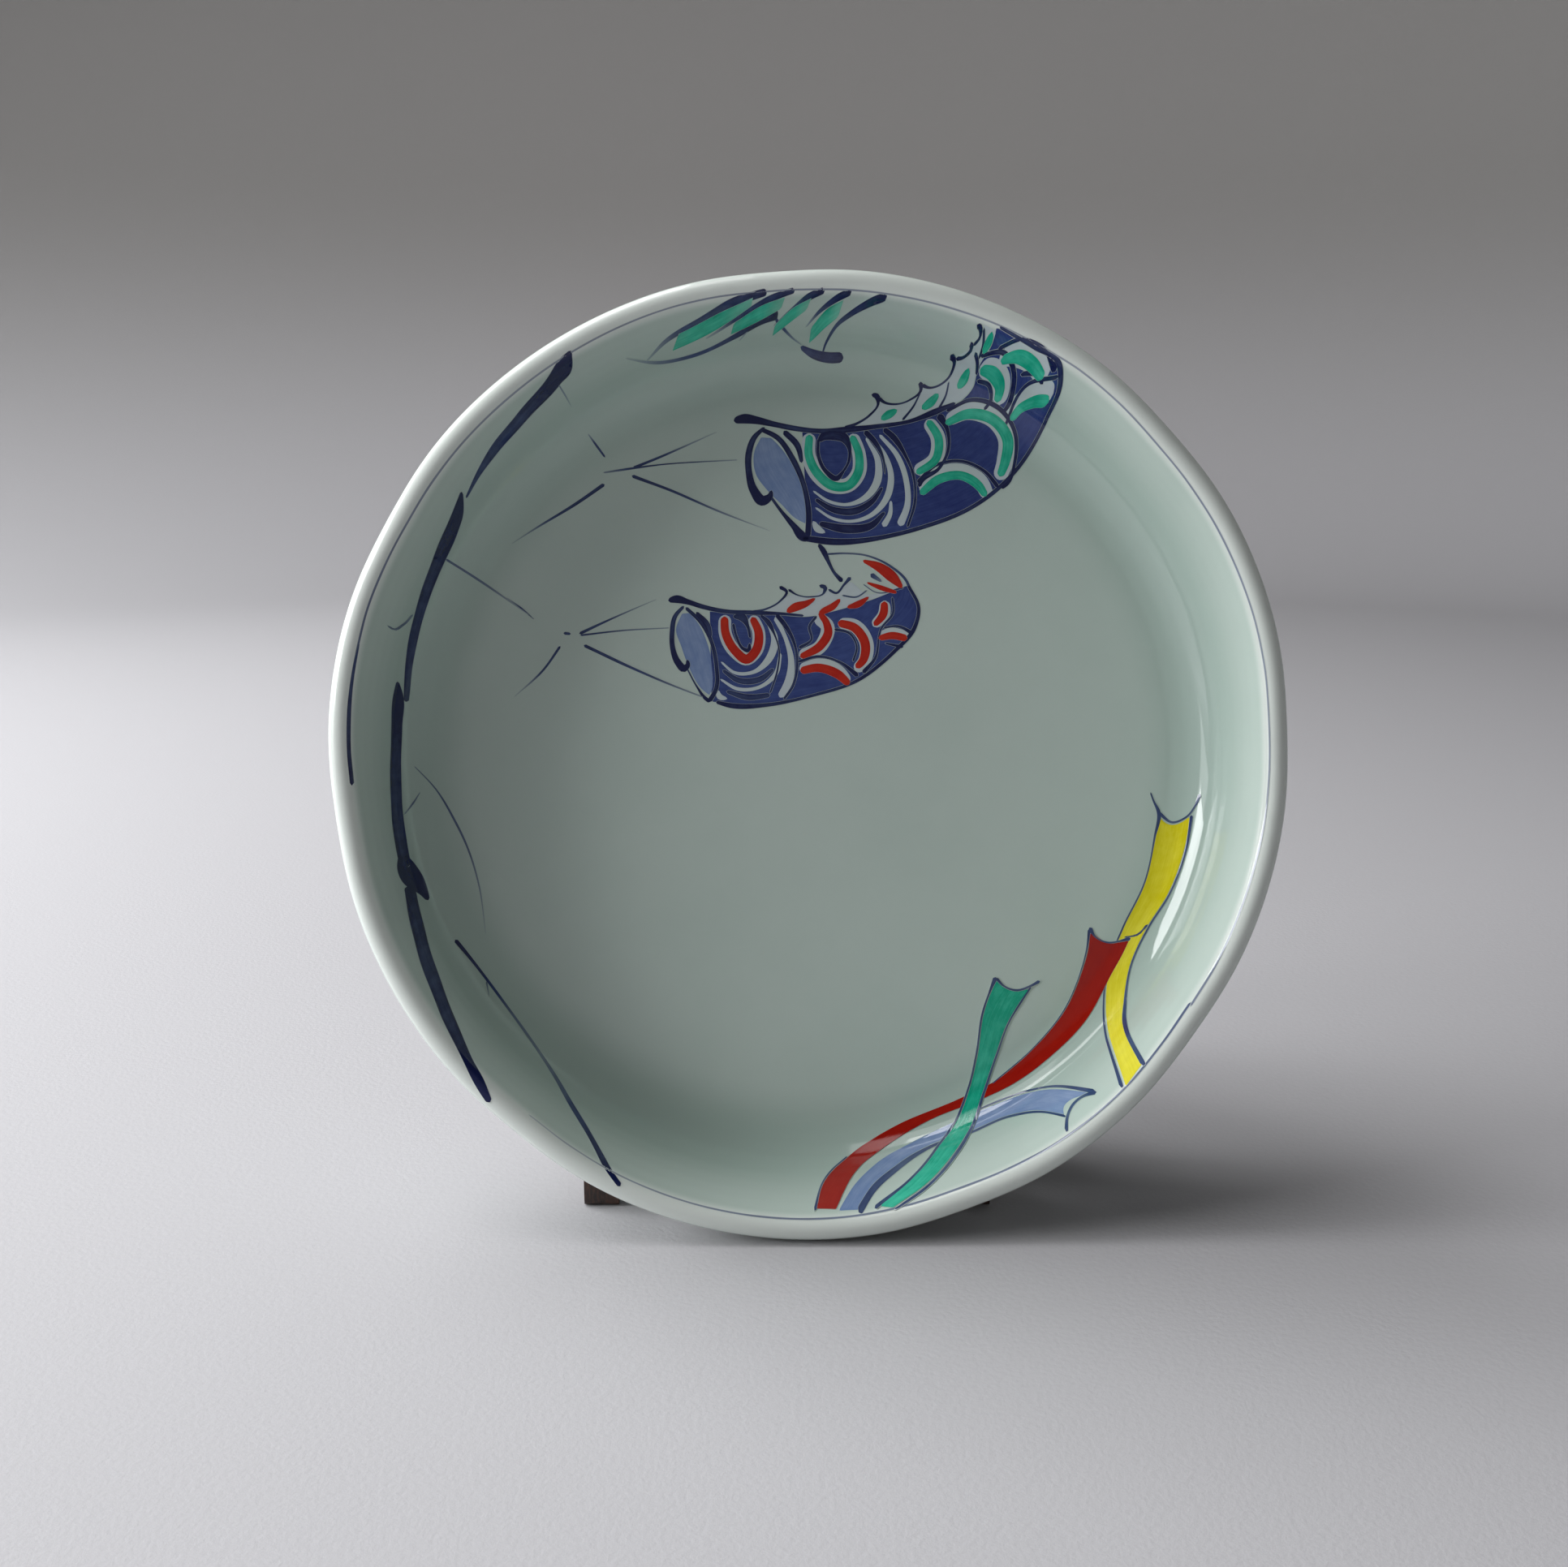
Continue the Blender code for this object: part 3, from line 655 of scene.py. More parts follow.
def paintPole():
    brush = paintBrush("poleStrokes", "cobaltLine")
    brush.stroke([(-58.9, 99.6, 0.7), (-60.2, 97.4, 2.5), (-63.4, 94, 2.2), (-72.8, 85, 1.8),
                  (-80.2, 77, 1.4), (-84, 72, 0.9), (-88, 65.6, 0.4)],
                 ink=(1, 1, 0.75, 0.65, 0.6, 0.5))
    brush.stroke([(-88.4, 66.8, 0.5), (-89.9, 62.6, 1.7), (-92, 58, 2.1), (-95.9, 50, 2.0),
                  (-99.6, 41.4, 1.8), (-102.4, 32.6, 1.8), (-104.3, 23.6, 1.6),
                  (-105.4, 13.6, 1.2)], ink=(1, 0.95, 0.8, 0.7, 0.75, 0.8))
    brush.stroke([(-106.7, 18.8, 0.5), (-106.8, 14.4, 2.1), (-107.3, 7, 2.0), (-107.5, -3, 2.0),
                  (-107, -14, 1.9), (-105.6, -24, 1.8), (-104.4, -29.6, 1.8)],
                 ink=(1, 1, 0.8, 0.75, 0.75, 0.9))
    brush.stroke([(-105.6, -25.6, 0.8), (-104.4, -29, 2.8), (-102.6, -33, 3.4), (-100.6, -36.4, 1.8),
                  (-99.6, -38.4, 0.8)], ink=(1, 1, 1, 1, 0.95))
    brush.stroke([(-103.4, -34, 1.6), (-101.2, -42, 1.9), (-98.4, -50.4, 2.0), (-92.2, -64, 1.8),
                  (-85.4, -76, 1.8), (-81.6, -82.6, 2.4), (-79.4, -86.6, 1.6)],
                 ink=(0.95, 0.75, 0.7, 0.8, 0.95, 1))
    brush.finish()
    lines = paintBrush("poleLines", "cobaltLine")
    lines.stroke([(-106.9, 32.6, 0.5), (-106, 31.8, 0.6), (-104.4, 33.2, 0.5), (-102.4, 36.2, 0.4)],
                 ink=(0.35, 0.4, 0.3))
    lines.stroke([(-94.6, 50.8, 0.7), (-86.2, 45.4, 0.7), (-72.5, 35.8, 0.3)], ink=(0.42, 0.34, 0.1))
    lines.stroke([(-103.9, -3.2, 0.3), (-98.6, -9.5, 0.5), (-93.9, -17.5, 0.7), (-90, -26, 0.6),
                  (-87.4, -35, 0.5), (-85.6, -48, 0.3)],
                 ink=(0.3, 0.42, 0.4, 0.3, 0.1))
    lines.stroke([(-105.8, -16, 0.3), (-104, -13, 0.5), (-102.4, -10, 0.3)], ink=(0.3, 0.4, 0.25))
    lines.stroke([(-93, -49, 1.0), (-88, -55.5, 0.8), (-80, -66.3, 0.7), (-71.8, -77.2, 0.7),
                  (-63, -88.7, 0.8), (-55, -98, 0.9), (-47, -107.6, 1.3)],
                 ink=(0.95, 0.55, 0.35, 0.3, 0.4, 0.7, 1))
    lines.stroke([(-85, -60, 0.5), (-84, -64, 0.3)], ink=(0.4, 0.15))
    lines.stroke([(-63.2, 93.2, 0.4), (-62, 91.2, 0.5), (-61.2, 89.6, 0.3)], ink=(0.35, 0.25, 0.08))
    lines.finish()


def paintLeaves():
    green = paintBrush("leafGreen", "greenEnamel")
    for left, right in (
        ([(-14, 113), (-22, 110.6), (-33, 106.4)], [(-14.5, 111.8), (-24, 107.8), (-35, 103.6)]),
        ([(-6, 113.4), (-12, 112), (-19, 109.3)], [(-7, 111.8), (-13, 109.8), (-20, 107.6)]),
        ([(0.5, 113.4), (-4, 112), (-8.6, 109.6)], [(-0.6, 111.8), (-5, 109.9), (-9.3, 108)]),
        ([(8.6, 113.2), (4.6, 112), (0.6, 109.4)], [(7.4, 110.8), (3.6, 109), (0.2, 107)]),
    ):
        green.fill(left, right, "enamel", (0.3, 0.5, 0.42), 0.4)
    green.finish()
    lines = paintBrush("leafStrokes", "cobaltLine")
    lines.stroke([(-10.5, 114.2, 1.6), (-18, 112.4, 1.5), (-27, 109, 1.1), (-36.5, 104.8, 0.7),
                  (-42, 100.8, 0.3)],
                 ink=(0.85, 0.7, 0.55, 0.4, 0.15))
    lines.stroke([(-3.6, 114.6, 1.3), (-9, 113.2, 1.2), (-16, 110.8, 0.8), (-26.5, 106.4, 0.3)],
                 ink=(0.85, 0.65, 0.45, 0.15))
    lines.stroke([(3.8, 114.7, 1.3), (0, 113.6, 1.2), (-4.5, 111.6, 0.7), (-9, 109.4, 0.3)],
                 ink=(0.9, 0.7, 0.5, 0.2))
    lines.stroke([(10.4, 114.4, 1.4), (6, 113.1, 1.1), (2.6, 111.6, 0.7), (-0.8, 109.4, 0.3)],
                 ink=(0.9, 0.7, 0.5, 0.2))
    lines.stroke([(19.2, 113.3, 1.6), (14.5, 112.4, 1.3), (10.6, 111.2, 1.0), (6.8, 109.4, 0.8),
                  (4.6, 107, 0.7), (3.6, 104.4, 0.5)],
                 ink=(0.95, 0.75, 0.6, 0.55, 0.5))
    lines.stroke([(-46.6, 100.6, 0.3), (-40.6, 101, 0.6), (-30.8, 103.2, 0.7), (-19, 107.4, 0.8),
                  (-11.5, 110.2, 1.3), (-7.8, 111.3, 2.0)],
                 ink=(0.12, 0.35, 0.45, 0.5, 0.85, 0.95))
    lines.stroke([(-8.6, 110.4, 0.9), (-5.5, 108.6, 0.6), (-1.6, 106.6, 0.3)], ink=(0.6, 0.4, 0.2))
    lines.stroke([(-2, 106.3, 1.0), (1.5, 104.8, 2.2), (5.5, 104, 2.6), (9.3, 104, 2.4)],
                 ink=(0.5, 0.75, 0.8, 0.9))
    lines.stroke([(-13.6, 109.8, 0.4), (-18, 106.8, 0.3)], ink=(0.4, 0.15))
    lines.finish()


def paintTethers():
    lines = paintBrush("tetherLines", "cobaltLine")
    for points, ink in (
        ([(-46.3, 75.6, 0.9), (-38, 79, 0.7), (-24, 85.2, 0.3)], (0.65, 0.4, 0.12)),
        ([(-54.2, 74.4, 0.5), (-49, 75.2, 0.7), (-40, 76.4, 0.5), (-18.5, 77.8, 0.4)],
         (0.3, 0.6, 0.45, 0.2)),
        ([(-46.6, 73.6, 1.0), (-36, 69.6, 0.8), (-24, 64.4, 0.6), (-10, 59, 0.3)], (0.7, 0.5, 0.35, 0.1)),
        ([(-53.8, 71.4, 1.1), (-62, 65.8, 0.9), (-71, 60.4, 0.6), (-78.5, 55.6, 0.3)],
         (0.65, 0.6, 0.4, 0.1)),
        ([(-58, 84.4, 0.4), (-55.5, 81, 0.7), (-53.6, 78.4, 0.6)], (0.2, 0.55, 0.5)),
        ([(-60.6, 31.8, 0.9), (-52, 35.8, 0.6), (-40, 41, 0.3)], (0.6, 0.4, 0.15)),
        ([(-60.4, 31.4, 0.6), (-50, 32.6, 0.5), (-36.6, 33.4, 0.4)], (0.5, 0.4, 0.25)),
        ([(-59.4, 28.8, 1.0), (-48, 23.4, 0.8), (-36, 18.2, 0.6), (-26.6, 14.6, 0.5)],
         (0.65, 0.5, 0.4, 0.25)),
        ([(-65.6, 28.6, 0.8), (-70, 22.4, 0.7), (-78, 15, 0.3)], (0.6, 0.45, 0.1)),
        ([(-64.8, 32, 0.9), (-62.8, 31.8, 0.8)], (0.6, 0.5)),
        ([(-80, 41.5, 0.3), (-76, 38.6, 0.6), (-72.5, 35.6, 0.4)], (0.15, 0.45, 0.3)),
    ):
        lines.stroke(points, ink=ink)
    lines.finish()


# each carp is a dictionary of its shapes: (x, y) edges and (x, y, width) strokes, in mm on the dish
bigCarp = {
    "name": "bigCarp", "enamel": "greenEnamel",
    "body": ([(-1.5, 85.2), (6, 85.2), (13, 85.8), (20, 86.5), (29, 88.3), (35, 90.8), (40, 92.8),
              (43.2, 96), (44, 100), (46, 103), (46.2, 105.4)],
             [(0, 57), (10.5, 56.2), (20.6, 57.7), (31, 60.4), (43, 65.2), (51, 71), (57.2, 78), (62, 87.6),
              (63.2, 92.5), (61.8, 96.8), (47, 105.2)]),
    "bodyInk": (0.75, 0.6, 0.8, 0.7, 0.75, 0.6),
    "gape": ([(-12.4, 83.8), (-14.2, 80), (-13.8, 74), (-11, 70), (-7, 66), (-3.4, 62.4), (-0.8, 61)],
             [(-9.6, 83.6), (-6.6, 80.4), (-3.8, 76), (-1.8, 71.4), (-0.6, 66.4), (-0.4, 63), (-0.6, 61)]),
    "frill": ([(9.6, 86), (15.4, 88.9), (18.4, 93), (23, 92.6), (28.4, 94.6), (30, 97), (34, 96.8),
               (37, 99), (37.8, 102), (41, 103.2), (42.6, 105), (43.4, 106.4)],
              [(10, 85.8), (19.5, 86.8), (27, 88.4), (34.7, 90.9), (40, 93), (43, 96), (44, 100), (46, 103),
               (46.6, 104.8)]),
    "white": [
        [(0.4, 84.8, 3.6), (0.3, 78.8, 3.8), (2.8, 73.8, 3.9), (6.7, 71, 4), (10.6, 71.2, 4),
         (13.4, 74.4, 3.8), (13.6, 79.2, 3.6), (11.6, 84.6, 3.2)],
        [(1.4, 69.6, 0.5), (5.5, 66.9, 0.8), (10.5, 66, 0.9), (15.4, 68, 1.6), (18.4, 72.4, 2.0),
         (18.6, 77.4, 1.6), (15.4, 83.6, 0.6)],
        [(2, 65.2, 0.5), (6.7, 62.3, 0.8), (11.8, 61.6, 0.8), (16.8, 63.2, 1.2), (20.8, 67.6, 1.7),
         (22, 73.6, 1.6), (20.4, 79, 1.2), (16.4, 84.2, 0.6)],
        [(19, 84.4, 0.8), (23.6, 79, 1.3), (26, 72.6, 1.4), (26.4, 66, 1.6), (24.4, 60.4, 2.0)],
        [(22, 67, 0.7), (21.8, 63.6, 1.2), (20, 60.2, 1.6)],
        [(1.4, 61.6, 0.8), (2.6, 59.6, 1.8), (4.6, 58.6, 0.6)],
        [(-5, 85, 0.5), (-3.2, 83.2, 1.0), (-2, 81, 0.4)],
        [(31.6, 88.4, 3.4), (34.4, 83.4, 3.9), (33.8, 78.2, 3.9), (28.4, 74.4, 3.4)],
        [(36.6, 88, 3.2), (42.5, 90.4, 4.4), (48.6, 88.6, 4.6), (52.6, 83.2, 4.6), (52.2, 77.2, 4.4),
         (50.4, 72.6, 3.6)],
        [(29.8, 69.6, 3.4), (35, 74, 4.0), (40.8, 74.8, 4.0), (45.4, 72.4, 4.0), (48, 67.8, 3.2)],
        [(44.2, 99.6, 3.0), (47.4, 98.6, 4.0), (50.2, 95.4, 4.2), (50, 91.6, 3.4)],
        [(48.4, 100.4, 3.0), (52.1, 100.4, 4.0), (56.4, 98.4, 4.0), (59.8, 94.8, 3.2)],
        [(52.8, 88.4, 3.2), (55, 91.6, 4.4), (58.4, 92.6, 4.6), (62.2, 91.4, 4.6)],
    ],
    "enamelStrokes": [
        [(0.4, 84.4, 2.1), (0.3, 78.8, 2.3), (2.8, 73.8, 2.4), (6.7, 70.9, 2.5), (10.6, 71, 2.4),
         (13.3, 74.4, 2.4), (13.5, 79.2, 2.2), (11.6, 84.2, 1.8)],
        [(31.7, 88.2, 1.9), (34.6, 83.2, 2.3), (34, 78.2, 2.3), (28.8, 74.2, 1.8)],
        [(36.4, 87.4, 1.8), (42.5, 89.8, 2.6), (48.8, 88.2, 2.8), (52.8, 83, 2.8), (52.2, 77.2, 2.6),
         (50.8, 73.4, 2.0)],
        [(29.8, 68.8, 1.8), (35, 72.8, 2.4), (40.6, 73.6, 2.4), (45, 71.2, 2.4), (47.2, 68.2, 1.8)],
        [(44.4, 99.4, 1.6), (47.6, 98, 2.4), (49.9, 95.2, 2.4), (49.6, 92.2, 1.8)],
        [(48.8, 100, 1.6), (52.4, 99.9, 2.2), (56.2, 97.9, 2.3), (59.2, 95, 1.8)],
        [(53.4, 87.8, 1.7), (55.6, 90.4, 2.3), (58.6, 91.2, 2.4), (61.8, 90.6, 2.2)],
        [(19.4, 88.4, 1.2), (21.5, 89.8, 2.2), (23.6, 91, 1.0)],
        [(30.2, 91.2, 1.4), (32.4, 92.8, 2.4), (34.4, 95, 1.2)],
        [(39.4, 96, 1.4), (40.8, 98, 2.2), (41.6, 100, 1.0)],
        [(44.4, 101.8, 1.2), (45.2, 103.6, 1.8), (45.4, 105, 0.8)],
    ],
    "lines": [
        ([(-19.6, 88.1, 1.6), (-16.8, 88.6, 2.6), (-13.6, 88.2, 2.2), (-9, 87.2, 1.6), (-3, 86, 1.5),
          (4, 85.4, 1.4), (10.6, 85.8, 1.7), (18, 86.6, 1.3),
          (27, 88, 1.2), (34, 90.6, 1.7), (39, 92.6, 0.9)],
          (1, 1, 0.8, 0.7, 0.75, 0.95, 0.8, 0.9, 0.95, 0.7)),
        ([(-11.4, 86.4, 0.9), (-14.2, 83.6, 1.5), (-15.6, 79.6, 1.7), (-15.6, 74.6, 1.8),
          (-14.2, 69.6, 2.4), (-12, 67, 2.8), (-10, 68.2, 1.8), (-9.6, 69.8, 0.8)],
         (0.8, 0.75, 0.8, 0.85, 0.95, 1, 0.9)),
        ([(-12.6, 86, 1.2), (-8, 83.6, 1.5), (-4, 78, 1.6), (-1.2, 71.6, 1.5), (0.2, 64.2, 1.6),
          (0, 57.4, 1.7)], (0.9, 0.85, 0.8, 0.8, 0.85, 1)),
        ([(-9.8, 68, 0.8), (-7, 64.2, 1.0), (-3.8, 60.4, 1.7), (-1, 57.4, 2.4), (0.6, 56.9, 1.4)],
         (0.7, 0.8, 0.9, 1)),
        ([(-1.6, 57.2, 1.6), (6, 56.2, 1.9), (14, 56.4, 1.5), (22, 57.8, 1.2), (31, 60.2, 1.2),
          (43, 65, 1.2), (51, 70.8, 1.2), (57.2, 77.8, 1.1),
          (62.2, 87.4, 1.0), (63.4, 92.4, 1.1), (61.8, 97, 1.1), (56, 100.6, 0.9), (47, 105.6, 0.8)],
          (1, 0.9, 0.8, 0.75, 0.8, 0.85, 0.8, 0.75, 0.7)),
        ([(-6.4, 85.4, 1.6), (-2.8, 81.6, 1.8), (-1.6, 77, 1.0)], (0.9, 0.9, 0.7)),
        ([(2.8, 82.6, 1.0), (4.2, 84, 2.4), (7, 84.4, 3.0), (9.6, 83.6, 2.6), (11, 81, 1.2),
          (10.9, 77.6, 0.8), (8.8, 73.8, 0.7)], (0.95, 0.9, 0.9, 0.85, 0.9, 0.95)),
        ([(2.8, 83.4, 0.8), (2.8, 79, 1.0), (4.6, 75, 1.2), (7.6, 72.9, 1.6), (9.6, 75, 0.8)],
         (0.9, 0.9, 1, 1)),
        ([(15, 85.4, 1.6), (17.8, 82.4, 1.5), (20, 78, 0.7), (20.4, 74, 0.4)], (1, 0.9, 0.7, 0.6)),
        ([(20, 86, 1.5), (22.8, 83.6, 1.7), (25.8, 79, 1.0), (28, 73.6, 0.8), (28.4, 67, 0.8),
          (26.4, 60, 0.7)], (1, 1, 0.8, 0.75, 0.8, 0.8)),
        ([(2, 67.4, 1.0), (7, 64.6, 1.8), (12, 64.2, 2.0), (17, 66.8, 1.6), (19.8, 70.6, 0.8)],
         (0.9, 0.85, 0.85, 0.9, 0.8)),
        ([(3, 61, 1.4), (10, 59.6, 2.4), (17, 60.6, 2.0), (20.4, 64, 0.9)], (0.9, 0.9, 0.95, 0.8)),
        ([(34.6, 89.8, 2.2), (36.8, 86, 1.2), (37.2, 80.6, 0.9), (34.6, 75.4, 1.0), (30, 72.2, 1.5),
          (29.4, 70.6, 1.0)], (1, 0.9, 0.8, 0.85, 0.95)),
        ([(36.6, 90.6, 1.0), (43, 93.2, 1.1), (50, 91, 1.2), (54.6, 85, 1.1), (54.8, 77.4, 1.0),
          (52.6, 71.4, 1.2), (51, 70.4, 1.4)], (0.85, 0.8, 0.85, 0.9, 0.8, 0.95)),
        ([(29, 71.8, 1.2), (34, 76.4, 0.9), (41, 77.4, 0.9), (47, 74.6, 1.0), (50.4, 70.6, 1.3)],
         (0.9, 0.8, 0.8, 0.9, 1)),
        ([(44, 97.4, 0.9), (47.2, 96, 1.0), (48, 92.8, 0.9), (46.4, 90.6, 0.9)], (0.85, 0.8, 0.8)),
        ([(43.8, 101.6, 0.9), (49, 101.2, 1.0), (52.6, 97, 1.1), (52.6, 91.6, 1.3), (51.2, 89.6, 1.0)],
         (0.85, 0.8, 0.9, 0.95)),
        ([(47.6, 102, 0.9), (52.6, 102.6, 0.9), (58, 100.2, 1.0), (61.6, 95.6, 1.3)], (0.8, 0.75, 0.8, 1)),
        ([(54, 96.8, 0.9), (57.4, 96.2, 1.2), (59.6, 94, 0.8)], (0.8, 0.85, 0.8)),
        ([(52, 86.4, 0.8), (56, 94.6, 0.9), (62.6, 94.6, 0.9)], (0.8, 0.75, 0.85)),
        ([(9.6, 86.1, 1.3), (13, 87.4, 0.8), (16.4, 89.6, 0.7), (18.6, 92.6, 0.8), (18.2, 94.6, 1.6),
          (16.8, 95, 0.9)], (1, 0.8, 0.7, 0.8, 1, 1)),
        ([(18.6, 94.2, 1.2), (20.4, 92.9, 0.8), (23.4, 92.5, 0.6), (27, 93.6, 0.6), (29.8, 96, 0.9),
          (29.6, 98, 1.5)], (1, 0.8, 0.6, 0.7, 0.9, 1)),
        ([(30, 97.2, 1.2), (32, 96.5, 0.7), (35, 97.2, 0.6), (37.4, 99.4, 0.7), (37.8, 101.8, 1.0),
          (36.6, 102.8, 1.4)], (1, 0.8, 0.6, 0.7, 1, 1)),
        ([(38, 102, 0.9), (40, 102, 0.7), (41.4, 103, 0.9), (41, 104.2, 1.1)], (0.9, 0.8, 0.9, 1)),
        ([(41.6, 103.4, 0.8), (42.9, 104.6, 0.7), (42.6, 106, 1.0), (41.6, 106.6, 0.9)],
         (0.9, 0.8, 0.95, 1)),
        ([(29.8, 95.6, 0.5), (28, 92, 0.6), (25, 88.2, 0.7)], (0.6, 0.7, 0.8)),
        ([(37, 97.8, 0.5), (36.4, 94.6, 0.6), (34.6, 91.2, 0.7)], (0.6, 0.7, 0.8)),
        ([(42.4, 102.4, 0.8), (43.4, 100.6, 0.8), (43.8, 98.4, 0.7)], (0.8, 0.8, 0.8)),
        ([(43.4, 106, 0.6), (44, 103, 0.7), (43.6, 101, 0.7)], (0.8, 0.7, 0.8)),
    ],
}
